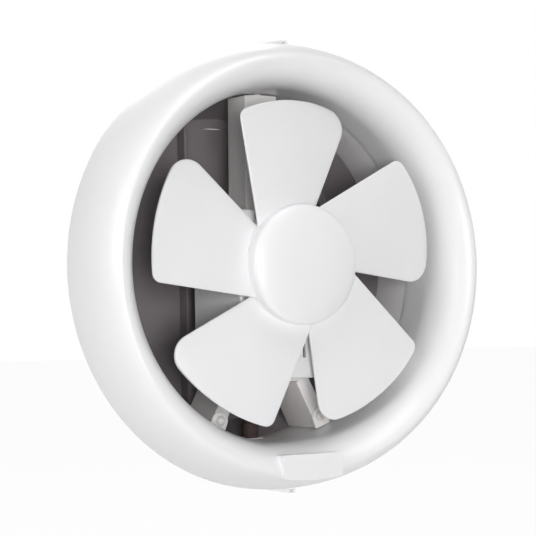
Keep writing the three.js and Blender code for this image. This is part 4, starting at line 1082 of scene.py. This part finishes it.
@dataclass
class Impeller:
    """Five blades on a hub, with the dome over its middle."""

    plane: float = -38.5
    tip: float = 100.0
    blades: int = 5
    thickness: float = 1.8
    leading: BladeEdge = BladeEdge(9.8, 23.8, 6.0, 1)
    trailing: BladeEdge = BladeEdge(-26.3, 1.9, 12.5, -1)
    leading_depth: float = -1.2
    trailing_root: float = 3.0
    trailing_tip: float = 6.8
    camber: float = 1.5
    hub: float = 36.3
    hub_wall: float = 2.2
    hub_rear: float = 10.5
    boss: float = 8.0
    boss_lead: float = 3.5
    shaft_bore: float = 3.06
    cap_rear: float = -2.8
    cap_skirt: float = 5.2
    cap_dome: float = 7.2
    cap_wall: float = 2.0

    def blade(self, span_steps: int = 36, chord_steps: int = 26) -> Solid:
        """One blade, with its axis along +Z, as a closed skin with rounded edges.

        Args:
            span_steps: Faces from the root to the tip.
            chord_steps: Faces from one edge to the other.

        Returns:
            The blade.
        """
        made = bmesh.new()
        root = self.hub - self.hub_wall * 0.6
        skins: list[list[list[bmesh.types.BMVert]]] = [[], []]
        for i in range(span_steps + 1):
            span = 1 - (1 - i / span_steps) ** 1.6
            radius = root + (self.tip - root) * span
            trailing_depth = self.trailing_root + (self.trailing_tip - self.trailing_root) * span
            first = self.trailing.angle(radius, self.tip)
            last = self.leading.angle(radius, self.tip)
            for side in (0, 1):
                row = []
                for j in range(chord_steps + 1):
                    chord = j / chord_steps
                    angle = first + (last - first) * chord
                    depth = trailing_depth + (self.leading_depth - trailing_depth) * chord
                    depth += (side - 0.5) * self.thickness - self.camber * 4 * chord * (1 - chord)
                    row.append(made.verts.new((-radius * math.sin(angle), depth, radius * math.cos(angle))))
                skins[side].append(row)
        for skin in skins:
            for low, high in zip(skin, skin[1:]):
                for j in range(chord_steps):
                    made.faces.new((low[j], low[j + 1], high[j + 1], high[j]))
        front, back = skins
        rims = [
            ([row[0] for row in front], [row[0] for row in back]),
            ([row[-1] for row in front], [row[-1] for row in back]),
            (front[0], back[0]), (front[-1], back[-1]),
        ]
        for near, far in rims:
            for k in range(len(near) - 1):
                made.faces.new((near[k], near[k + 1], far[k + 1], far[k]))
        bmesh.ops.recalc_face_normals(made, faces=made.faces)
        made.edges.ensure_lookup_table()
        rim_edges = [e for e in made.edges if e.calc_face_angle(0) > math.radians(50)]
        outer = [e for e in rim_edges if all(v.co.xz.length > self.hub - 0.2 for v in e.verts)]
        bmesh.ops.bevel(made, geom=outer, offset=0.6, segments=3, profile=0.5, affect="EDGES")
        return Solid(made)

    def hub_solid(self) -> Solid:
        """The hub with its neck, web and boss.

        Returns:
            The hub.
        """
        neck = self.hub - self.cap_wall - LAYOUT.fit
        front = self.cap_rear - self.cap_skirt + 1.5
        inner = self.hub - self.hub_wall
        profile = [
            (self.shaft_bore, -self.boss_lead), (self.boss, -self.boss_lead), (self.boss, -1),
            (neck - self.hub_wall, -1), (neck - self.hub_wall, front), (neck, front),
            (neck, self.cap_rear + LAYOUT.fit), (self.hub, self.cap_rear + LAYOUT.fit),
            (self.hub, self.hub_rear), (inner, self.hub_rear), (inner, 2), (self.boss, 2),
            (self.boss, self.hub_rear - 1), (self.shaft_bore, self.hub_rear - 1),
        ]
        return Solid.turned(profile, 120, 0.3)

    def cap(self) -> Solid:
        """The shallow dome, whose skirt slides on the hub's neck.

        Returns:
            The cap.
        """
        r, dome = self.hub, self.cap_dome
        outside = bezier((0, -dome), (r * 0.62, -dome), (r, -dome * 0.72), (r, 0), 40)
        scale = (r - self.cap_wall) / r
        inside = [(x * scale, y * scale + self.cap_wall * 0.4) for x, y in outside]
        rim = [(r, self.cap_skirt), (r - self.cap_wall, self.cap_skirt)]
        return Solid.turned(eased([*outside, *rim, *inside[::-1]], 0.4), 160)

    def build(self) -> None:
        """Builds the impeller and its cap, and dresses the shaft's pieces."""
        one = self.blade()
        turns = [Matrix.Rotation(math.tau * k / self.blades, 4, "Y") for k in range(self.blades)]
        wheel = self.hub_solid().joined(*(one.copied().changed(turn) for turn in turns))
        wheel.moved((0, self.plane, 0)).piece("impeller", Body.IMPELLER, BLADE_PLASTIC, sharp=38)
        shoulder = self.plane + self.cap_rear - self.cap_skirt
        self.cap().moved((0, shoulder, 0)).piece("spinner_cap", Body.IMPELLER, WHITE_PLASTIC, sharp=40)
        for node, finish in (
            ("motor_shaft", ZINC), ("cross_pin", ZINC), ("impeller_nut", ZINC), ("rotor", LAMINATIONS),
            ("thrust_washer_front", NYLON), ("thrust_washer_rear", NYLON),
        ):
            Workshop.dress(node, finish)


# ---- Frame in the pane ----
@dataclass
class MountFrame:
    """The duct and flange that hold the motor, with the gaskets and the cord's gland."""

    pillar: float = 3.2
    pilot: float = 1.75
    cord_x: float = 3.5
    gland_y: float = 28.0
    gland_bore: float = 3.2
    gland_wall: float = 2.3
    gland_neck_wall: float = 1.4
    gland_head: float = 11.9
    boss_height: float = 0.9
    boss_half: float = 7.0
    channel_half: float = 4.5
    channel_depth: float = 6.5

    def duct(self) -> Solid:
        """The flange, the socket for the bezel, the duct and the pillars of the bracket's feet.

        Returns:
            The frame.
        """
        lay = LAYOUT
        shell = Solid.turned([
            (lay.socket_inner, lay.flange_front), (lay.flange_radius, lay.flange_front),
            (lay.flange_radius, lay.flange_rear), (lay.socket_outer, lay.flange_rear),
            (lay.socket_outer, lay.socket_bottom + 1), (lay.duct_outer, lay.socket_bottom + 2.8),
            (lay.duct_outer, lay.duct_rear), (lay.duct_inner, lay.duct_rear),
            (lay.duct_inner, lay.socket_bottom), (lay.socket_inner, lay.socket_bottom),
        ], 240, 0.3)
        added, holes = [], []
        for centre, seat in lay.feet.values():
            reach = (lay.duct_inner + 1) / Vector(centre).length
            wall = (centre[0] * reach, centre[1] * reach)
            front = max(seat, lay.socket_bottom)
            added.append(Solid.bar(self.pillar, seat, lay.duct_rear, centre, ease=0.4))
            rib = bar_outline(centre, wall, self.pillar * 0.6)
            added.append(Solid.pushed(rib, front, lay.duct_rear - 0.01))
            holes.append(Solid.bar(self.pilot, seat - 1, seat + 14, centre, sides=32))
        for point in lay.clamp_points:
            holes.append(Solid.bar(lay.clamp_hole, lay.flange_front - 1, lay.flange_rear + 1, point, 32))
        added.append(Solid.block(
            (self.cord_x - self.boss_half, self.gland_y - 6, -lay.duct_outer + 1),
            (self.cord_x + self.boss_half, lay.duct_rear - 0.02, -lay.duct_inner + self.boss_height), 0.6,
        ))
        holes.append(Solid.upright(
            self.gland_bore + self.gland_neck_wall + lay.fit, -lay.duct_outer - 2,
            -lay.duct_inner + self.boss_height + 1, self.cord_x, self.gland_y,
        ))
        holes.append(Solid.block(
            (self.cord_x - self.channel_half, lay.flange_front - 1, -lay.socket_outer - self.channel_depth),
            (self.cord_x + self.channel_half, lay.flange_rear + 1, -lay.socket_outer - 0.4),
        ))
        return shell.joined(*added).cut(*holes)

    def gland(self) -> Solid:
        """The bushing for the cord: a head with a round lip on a neck in the frame's boss.

        Returns:
            The gland.
        """
        bore, head = self.gland_bore, self.gland_bore + self.gland_wall
        neck = self.gland_bore + self.gland_neck_wall
        shoulder = -LAYOUT.duct_inner + self.boss_height + LAYOUT.fit
        top, bottom = shoulder + self.gland_head, -LAYOUT.duct_outer
        profile = [
            (bore, bottom), (neck, bottom), (neck, shoulder), (head, shoulder),
            (head, top - 3.2), (head - 1.0, top - 2.6), (head - 0.7, top), (bore, top),
        ]
        made = Solid.turned(profile, 64, 0.45)
        return made.changed(Matrix.Rotation(math.pi / 2, 4, "X")).moved((self.cord_x, self.gland_y, 0))

    def build(self) -> None:
        """Builds the frame, the gland and the two gaskets."""
        self.duct().piece("mount_frame", Body.HOUSING, FRAME_PLASTIC)
        self.gland().piece("cord_gland", Body.HOUSING, GLAND_RUBBER)
        lay = LAYOUT
        for name, y0, y1 in (("indoor_gasket", -3.0, 0.0), ("outdoor_gasket", lay.pane, lay.pane + 3)):
            profile = [(lay.gasket_inner, y0), (lay.gasket_outer, y0), (lay.gasket_outer, y1),
                       (lay.gasket_inner, y1)]
            Solid.turned(profile, 240, 0.5).piece(name, Body.HOUSING, GASKET_FOAM)


# ---- Motor and its bracket ----
@dataclass
class Motor:
    """The motor's bracket and cover. The pieces inside the cover keep their own shape."""

    half: float = 33.0
    top: float = 34.0
    bottom: float = -69.1
    front: float = -25.5
    rear: float = 28.4
    wall: float = 2.0
    edge: float = 1.5
    corner: float = 4.0
    slot_x: float = 11.9
    slot_z: float = -52.4
    slot_width: float = 2.0
    slot_height: float = 8.5
    shaft_hole: float = 8.0
    plate_front: float = 28.5
    plate_rear: float = 31.5
    shelf: float = 2.6
    leg: float = 9.4
    leg_wall: float = 1.2
    leg_hollow_lead: float = 3.4
    leg_top_x: float = 24.0
    leg_reach: float = 107.2
    boss: float = 5.5
    eye_thickness: float = 3.5
    spine_half: float = 12.0
    spine_top_half: float = 11.5
    spine_wall: float = 2.2
    spine_rear: float = 23.0
    bolt_x: float = 24.5
    bolt_hole: float = 2.15
    post: float = 4.0
    post_front: float = 18.7
    eye: float = 1.75
    eased_edge: float = 0.5

    def cover(self) -> Solid:
        """The box over the motor, with its shaft hole and the slot in its face.

        Returns:
            The cover.
        """
        outer = rectangle(-self.half, self.half, self.bottom, self.top, self.corner, 10)
        shell = Solid.pushed(outer, self.front, self.rear)
        rim = [e for e in shell.mesh.edges if all(abs(v.co.y - self.front) < 1e-6 for v in e.verts)]
        bmesh.ops.bevel(shell.mesh, geom=rim, offset=self.edge, segments=4, profile=0.5, affect="EDGES")
        w = self.wall
        hollow = rectangle(-self.half + w, self.half - w, self.bottom + w, self.top - w, self.corner - w, 10)
        return shell.cut(
            Solid.pushed(hollow, self.front + w, self.rear + 1),
            Solid.bar(self.shaft_hole, self.front - 1, self.front + w + 1),
            Solid.block(
                (self.slot_x - self.slot_width / 2, self.front - 1, self.slot_z - self.slot_height / 2),
                (self.slot_x + self.slot_width / 2, self.front + w + 1, self.slot_z + self.slot_height / 2),
            ),
        )

    def lower_leg(self, centre: Pair, seat: float) -> Solid:
        """A lower leg: a channel that is open at the back, and the raised pad of its foot.

        Args:
            centre: Middle of the foot as x and z.
            seat: Where the foot ends on its pillar.

        Returns:
            The leg, which reaches past the duct until the bracket trims it.
        """
        front = seat - self.eye_thickness
        start = Vector((math.copysign(self.leg_top_x, centre[0]), self.bottom - self.shelf / 2))
        foot = Vector(centre)
        along = (foot - start).normalized()
        past = LAYOUT.throat - foot.length
        end = foot + along * 2 * past
        inner = self.leg / 2 - self.leg_wall
        hollow_start = start + along * self.leg_hollow_lead
        outline = bar_outline(start, end, self.leg / 2)
        channel = Solid.pushed(outline, front, self.plate_rear, self.eased_edge)
        hollow = Solid.pushed(bar_outline(hollow_start, end + along, inner), seat, self.plate_rear + 1)
        outwards = foot.normalized()
        pad = Solid.pushed(
            round_ended(foot, foot + outwards * 2 * past, self.boss),
            front - LAYOUT.foot_boss, front + self.eye_thickness / 2, self.eased_edge,
        )
        return channel.cut(hollow).joined(pad)

    def spine(self, seat: float) -> Solid:
        """The open channel from the motor to the top of the duct.

        Args:
            seat: Where its floor ends on the pillar.

        Returns:
            The spine.
        """
        front, low, high = seat - self.eye_thickness, self.top + self.shelf / 2, LAYOUT.duct_inner
        wide, narrow, w = self.spine_half, self.spine_top_half, self.spine_wall

        def trapezoid(inset: float, z0: float, z1: float) -> list[Pair]:
            """The channel's outline, drawn in by an inset."""
            return [(-wide + inset, z0), (wide - inset, z0), (narrow - inset, z1), (-narrow + inset, z1)]

        channel = Solid.pushed(trapezoid(0, low, high), front, self.spine_rear, self.eased_edge)
        hollow = Solid.pushed(trapezoid(w, self.top + self.shelf, high + 1), seat, self.spine_rear + 1)
        return channel.cut(hollow)

    def bracket(self) -> Solid:
        """The painted bracket: a plate behind the motor, two lower legs and the spine.

        Returns:
            The bracket.
        """
        lay = LAYOUT
        back = Solid.pushed(
            rectangle(-self.half, self.half, self.bottom - self.shelf, self.top + self.shelf, self.corner),
            self.plate_front, self.plate_rear, 0.6,
        )
        (left, low), (right, _), (_, high) = (lay.feet[name] for name in ("left", "right", "top"))
        shelf_half = self.half - self.corner
        lower = Solid.block(
            (-shelf_half, low - self.eye_thickness, self.bottom - self.shelf),
            (shelf_half, self.plate_rear - 0.1, self.bottom - lay.fit), self.eased_edge,
        )
        upper = Solid.block(
            (-self.spine_half, high - self.eye_thickness, self.top + lay.fit),
            (self.spine_half, self.plate_rear - 0.1, self.top + self.shelf), self.eased_edge,
        )
        space = Solid.block(
            (-self.half - 1, self.front, self.bottom - lay.fit),
            (self.half + 1, self.plate_front, self.top + lay.fit),
        )
        near, far, first, last = self.leg_reach, 140.0, -40.0, lay.duct_rear
        outside = Solid.turned([(near, first), (far, first), (far, last), (near, last)], 240)
        legs = [self.lower_leg(centre, low - lay.seat) for centre in (left, right)]
        arms = self.spine(high - lay.seat).joined(*legs).cut(space, outside)
        bolts = [(-self.bolt_x, 0), (self.bolt_x, 0)]
        posts = [Solid.bar(self.post, self.post_front, self.plate_rear - 0.05, bolt) for bolt in bolts]
        holes = [
            Solid.bar(self.bolt_hole, self.post_front - 1, self.plate_rear - 1, bolt, 32) for bolt in bolts
        ]
        for centre, seat in lay.feet.values():
            holes.append(Solid.bar(self.eye, seat - self.eye_thickness - 3, seat + 1, centre, 32))
        return back.joined(lower, upper, arms, *posts).cut(*holes)

    def build(self) -> None:
        """Builds the cover and the bracket and dresses what is inside."""
        self.cover().piece("motor_cover", Body.HOUSING, WHITE_PLASTIC, sharp=40)
        self.bracket().piece("motor_bracket", Body.HOUSING, PAINTED_STEEL)
        for node, finish in (
            ("stator_core", LAMINATIONS), ("coil_bobbin", NYLON), ("coil_winding", COPPER),
            ("thermal_fuse", NYLON), ("terminal_block", NYLON), ("bearing_strap_front", ZINC),
            ("bearing_strap_rear", ZINC), ("bearing_front", BRONZE), ("bearing_rear", BRONZE),
            ("motor_bolt_left", ZINC), ("motor_bolt_right", ZINC),
        ):
            Workshop.dress(node, finish)


# ---- Outdoor duct and shutter ----
@dataclass
class OutdoorHalf:
    """The outdoor duct with its middle bar and the two sprung flaps."""

    sleeve_inner: float = 110.9
    sleeve_outer: float = 112.7
    flange_radius: float = 129.5
    knee_y: float = 35.0
    outlet_radius: float = 98.0
    outlet_y: float = 61.0
    seat_y: float = 64.5
    seat_inner: float = 92.0
    rim_wall: float = 2.5
    rim_height: float = 3.5
    mullion: float = 25.5
    mullion_rib: float = 2.4
    mullion_rib_depth: float = 6.0
    hinge_x: float = 23.0
    hinge_y: float = 70.6
    knuckle: float = 2.9
    knuckle_length: float = 9.0
    knuckle_z: float = 50.0
    ear_outstand: float = 1.2
    pin: float = 1.5
    pin_play: float = 0.15
    flap_front: float = 64.8
    flap_rear: float = 66.4
    flap_radius: float = 95.5
    flap_rib_z: tuple[float, ...] = (-66.0, -24.0, 24.0, 66.0)
    flap_rib_height: float = 2.0
    spring_curls: int = 5
    spring_radius: float = 2.3
    spring_wire: float = 0.4
    spring_pitch: float = 1.7
    spring_leg: float = 15.0

    @property
    def ears(self) -> list[Pair]:
        """The heights between which each ear of a hinge lies."""
        return [(-57.9, -54.9), (-11.0, -8.0), (8.0, 11.0), (54.9, 57.9)]

    def body(self) -> Solid:
        """The sleeve, cone, seat and rim, with the middle bar and the hinge ears.

        Returns:
            The outdoor duct.
        """
        lay = LAYOUT
        outer = self.outlet_radius + self.rim_wall
        rim_y = self.seat_y + self.rim_height
        shell = Solid.turned([
            (self.sleeve_inner, lay.outdoor_flange_front), (self.flange_radius, lay.outdoor_flange_front),
            (self.flange_radius, lay.outdoor_flange_rear), (self.sleeve_outer, lay.outdoor_flange_rear),
            (self.sleeve_outer, self.knee_y), (outer, self.outlet_y), (outer, rim_y),
            (self.outlet_radius, rim_y), (self.outlet_radius, self.seat_y), (self.seat_inner, self.seat_y),
            (self.seat_inner, self.outlet_y), (self.outlet_radius, self.outlet_y),
            (lay.duct_inner, self.knee_y), (self.sleeve_inner, self.knee_y - 0.6),
        ], 240, 0.35)
        reach = math.sqrt(self.seat_inner**2 - self.mullion**2) + 3
        added = [
            Solid.block((-self.mullion, self.outlet_y, -reach), (self.mullion, self.seat_y - 0.01, reach))
        ]
        for side in (-1, 1):
            edges = sorted((side * self.mullion, side * (self.mullion - self.mullion_rib)))
            added.append(Solid.block(
                (edges[0], self.outlet_y - self.mullion_rib_depth, -reach),
                (edges[1], self.outlet_y + 1, reach), 0.3,
            ))
            x = side * self.hinge_x
            foot = sorted((x - side * self.knuckle, x + side * self.ear_outstand))
            for z0, z1 in self.ears:
                added.append(Solid.block((foot[0], self.seat_y - 1, z0), (foot[1], self.hinge_y, z1)))
                added.append(Solid.upright(self.knuckle, z0, z1, x, self.hinge_y, ease=0.25))
        cuts = [Solid.upright(self.pin + self.pin_play, -60, 60, side * self.hinge_x, self.hinge_y)
                for side in (-1, 1)]
        for point in lay.clamp_points:
            low, high = lay.outdoor_flange_front - 1, lay.outdoor_flange_rear + 1
            cuts.append(Solid.bar(lay.clamp_hole, low, high, point, 32))
        cuts.append(Solid.block((-2.0, lay.outdoor_flange_front - 1, -118.8), (9.0, 34.0, -108.5)))
        return shell.joined(*added).cut(*cuts)

    def flap(self) -> Solid:
        """The right-hand flap with its ribs and knuckles.

        Returns:
            The flap.
        """
        half = math.acos(self.hinge_x / self.flap_radius)
        arc = [on_circle(self.flap_radius, -half + 2 * half * k / 96) for k in range(97)]
        panel = Solid.pushed(eased(arc, 1.0, 4), self.flap_front, self.flap_rear, 0.3)
        added = []
        for z in self.flap_rib_z:
            end = math.sqrt(self.flap_radius**2 - z**2) - 6
            top = self.flap_rear + self.flap_rib_height
            added.append(Solid.block(
                (self.hinge_x + 5, self.flap_front + 0.5, z - 0.7), (end, top, z + 0.7), 0.25
            ))
        for side in (-1, 1):
            z0 = side * self.knuckle_z - self.knuckle_length / 2
            z1 = z0 + self.knuckle_length
            added.append(Solid.block(
                (self.hinge_x, self.flap_front + 0.5, z0),
                (self.hinge_x + self.knuckle - 0.01, self.hinge_y, z1),
            ))
            added.append(Solid.upright(self.knuckle, z0, z1, self.hinge_x, self.hinge_y, ease=0.25))
        fit = LAYOUT.fit
        cuts = [
            Solid.block(
                (self.hinge_x - 1, self.flap_front - 1, z0 - fit),
                (self.hinge_x + self.ear_outstand + fit, self.flap_rear + 1, z1 + fit),
            )
            for z0, z1 in self.ears
        ]
        cuts.append(Solid.upright(self.pin + self.pin_play, -57, 57, self.hinge_x, self.hinge_y))
        return panel.joined(*added).cut(*cuts)

    def spring(self) -> Solid:
        """The right-hand spring: a leg on the middle bar, the curls and a leg on the flap.

        Returns:
            The spring.
        """
        steps = 24
        length = self.spring_curls * self.spring_pitch
        lift = self.spring_wire + LAYOUT.seat
        path = [Vector((self.hinge_x - self.spring_leg, self.seat_y + lift, -length / 2))]
        for i in range(self.spring_curls * steps + 1):
            turn = math.tau * i / steps - math.pi / 2
            path.append(Vector((
                self.hinge_x + self.spring_radius * math.cos(turn),
                self.hinge_y + self.spring_radius * math.sin(turn),
                length * (i / (self.spring_curls * steps) - 0.5),
            )))
        path.append(Vector((self.hinge_x + self.spring_leg, self.flap_rear + lift, length / 2)))
        return Solid.tube(path, self.spring_wire)

    def hinge_pin(self) -> Solid:
        """A hinge pin with a round head at its top.

        Returns:
            The pin.
        """
        reach = 57.9
        profile = [
            (0, -reach - 1.5), (self.pin, -reach - 1.5), (self.pin, reach + 0.3), (2.4, reach + 0.3),
            (2.4, reach + 1.1), (1.6, reach + 1.5), (0, reach + 1.5),
        ]
        made = Solid.turned(profile, 40, 0.2)
        return made.changed(Matrix.Rotation(math.pi / 2, 4, "X"))

    def build(self) -> None:
        """Builds the duct, the flaps, their pins and springs."""
        self.body().piece("outdoor_body", Body.HOUSING, DARK_PLASTIC)
        flap, spring = self.flap(), self.spring()
        sides = (("left", -1, Body.FLAP_LEFT), ("right", 1, Body.FLAP_RIGHT))
        for side, sign, body in sides:
            mirror = (1, 0, 0)
            (flap.mirrored(mirror) if sign < 0 else flap.copied()).piece(f"flap_{side}", body, FLAP_PLASTIC)
            wire = spring.mirrored(mirror) if sign < 0 else spring.copied()
            made = wire.piece(f"flap_spring_{side}", None, ZINC, sharp=60)
            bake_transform(made)
            pin = self.hinge_pin().moved((sign * self.hinge_x, self.hinge_y, 0))
            pin.piece(f"hinge_pin_{side}", Body.HOUSING, ZINC)


# ---- Studio ----
@dataclass
class Studio:
    """The camera at the photograph's angle, the pale floor, the white backdrop and the lamps.

    Attributes:
        azimuth: Where the camera stands, in degrees from the -Y axis.
        elevation: Height of the camera over the horizon, in degrees.
        roll: How far the camera leans, in degrees.
        distance: From the camera to the middle of the blades, in millimetres.
        focal: Focal length in pixels of the photograph.
        picture: Width and height of the photograph in pixels.
        middle: Where the middle of the blades is in the photograph, in pixels.
        target: The middle of the blades, in millimetres.
    """

    azimuth: float = -32.09
    elevation: float = -1.55
    roll: float = 1.05
    distance: float = 1150.0
    focal: float = 1900.0
    picture: float = 536.0
    middle: Pair = (297.68, 264.68)
    target: Triple = (0.0, -38.5, 0.0)
    sensor: float = 36.0
    floor_z: float = -330.0
    ambient: float = 0.02

    def camera(self) -> None:
        """Makes the camera and aims it as the photograph was taken."""
        a, e, r = (math.radians(v) for v in (self.azimuth, self.elevation, self.roll))
        back = Vector((math.sin(a) * math.cos(e), -math.cos(a) * math.cos(e), math.sin(e)))
        level = Vector((math.cos(a), math.sin(a), 0))
        above = back.cross(level)
        right = math.cos(r) * level - math.sin(r) * above
        up = math.sin(r) * level + math.cos(r) * above
        shift_x = (self.middle[0] - self.picture / 2) / self.focal
        shift_y = (self.picture / 2 - self.middle[1]) / self.focal
        aim = (-back - shift_x * right - shift_y * up).normalized()
        right = (right - aim * right.dot(aim)).normalized()
        up = right.cross(aim)
        data = bpy.data.cameras.new("camera")
        data.sensor_width = self.sensor
        data.lens = self.focal / self.picture * self.sensor
        data.clip_start, data.clip_end = 0.05, 50.0
        made = bpy.data.objects.new("camera", data)
        bpy.context.scene.collection.objects.link(made)
        place = (Vector(self.target) + back * self.distance) * MM
        turn = Matrix((right, up, -aim)).transposed().to_4x4()
        made.matrix_world = Matrix.Translation(place) @ turn
        bpy.context.scene.camera = made

    def lamp(self, name: str, place: Triple, size: float, power: float) -> None:
        """Adds a square soft lamp that faces the fan.

        Args:
            name: Name of the lamp.
            place: Its place in metres.
            size: Side of the square in metres.
            power: Power in watts.
        """
        data = bpy.data.lights.new(name, "AREA")
        data.shape = "SQUARE"
        data.size = size
        data.energy = power
        made = bpy.data.objects.new(name, data)
        bpy.context.scene.collection.objects.link(made)
        made.location = place
        made.rotation_mode = "QUATERNION"
        made.rotation_quaternion = (Vector(place) - Vector(self.target) * MM).to_track_quat("Z", "Y")

    @staticmethod
    def seen_directly(shader: Shader) -> Signal:
        """One for rays that the camera, a reflection or glass sends, otherwise zero."""
        rays = [shader.node("ShaderNodeLightPath", output=name)
                for name in ("Is Camera Ray", "Is Glossy Ray", "Is Transmission Ray")]
        return rays[0].largest(rays[1]).largest(rays[2])

    def world(self) -> None:
        """A white backdrop that lights the fan evenly."""
        world = bpy.data.worlds.new("studio")
        bpy.context.scene.world = world
        shader = Shader(world)
        seen = self.seen_directly(shader)
        strength = self.ambient + (1.0 - self.ambient) * seen
        sky = shader.node("ShaderNodeBackground", inputs={"Color": (1, 1, 1, 1), "Strength": strength})
        shader.finish(sky, "ShaderNodeOutputWorld")

    def floor(self) -> None:
        """A pale floor that keeps a soft shadow."""
        data = bpy.data.meshes.new("floor")
        made = bmesh.new()
        bmesh.ops.create_grid(made, x_segments=1, y_segments=1, size=12.0)
        made.to_mesh(data)
        plane = bpy.data.objects.new("floor", data)
        plane.location.z = self.floor_z * MM
        bpy.context.scene.collection.objects.link(plane)
        material = bpy.data.materials.new("pale_floor")
        shader = Shader(material)
        matt = shader.node("ShaderNodeBsdfDiffuse", inputs={"Color": (0.9, 0.9, 0.9, 1)})
        bright = shader.node("ShaderNodeEmission", inputs={"Color": (1, 1, 1, 1), "Strength": 1.0})
        share = self.seen_directly(shader) * 0.97
        shader.finish(shader.node("ShaderNodeMixShader", inputs={0: share, 1: matt, 2: bright}))
        data.materials.append(material)

    def light(self) -> None:
        """Sets up the lamps, the floor and the backdrop."""
        for name, place, size, power in (
            ("top", (0.0, -0.6, 2.2), 1.6, 25.2),
            ("left", (-2.2, -0.3, 0.6), 1.4, 16.3),
            ("front", (-0.8, -1.9, -0.05), 0.5, 21.5),
            ("right", (2.2, -0.4, 0.6), 1.4, 5.3),
            ("rear", (0.6, 2.2, 1.2), 1.4, 14.7),
        ):
            self.lamp(name, place, size, power)
        self.world()
        self.floor()
        bpy.context.scene.view_settings.view_transform = "Standard"


def main() -> None:
    """Builds the whole scene."""
    logging.basicConfig(level=logging.INFO, format="%(message)s")
    studio = Studio()
    studio.camera()
    for sub_assembly in (Bezel(), Impeller(), MountFrame(), Motor(), OutdoorHalf(), Fasteners()):
        sub_assembly.build()
        log.info("%s is built", type(sub_assembly).__name__)
    studio.light()


if __name__ == "__main__":
    main()
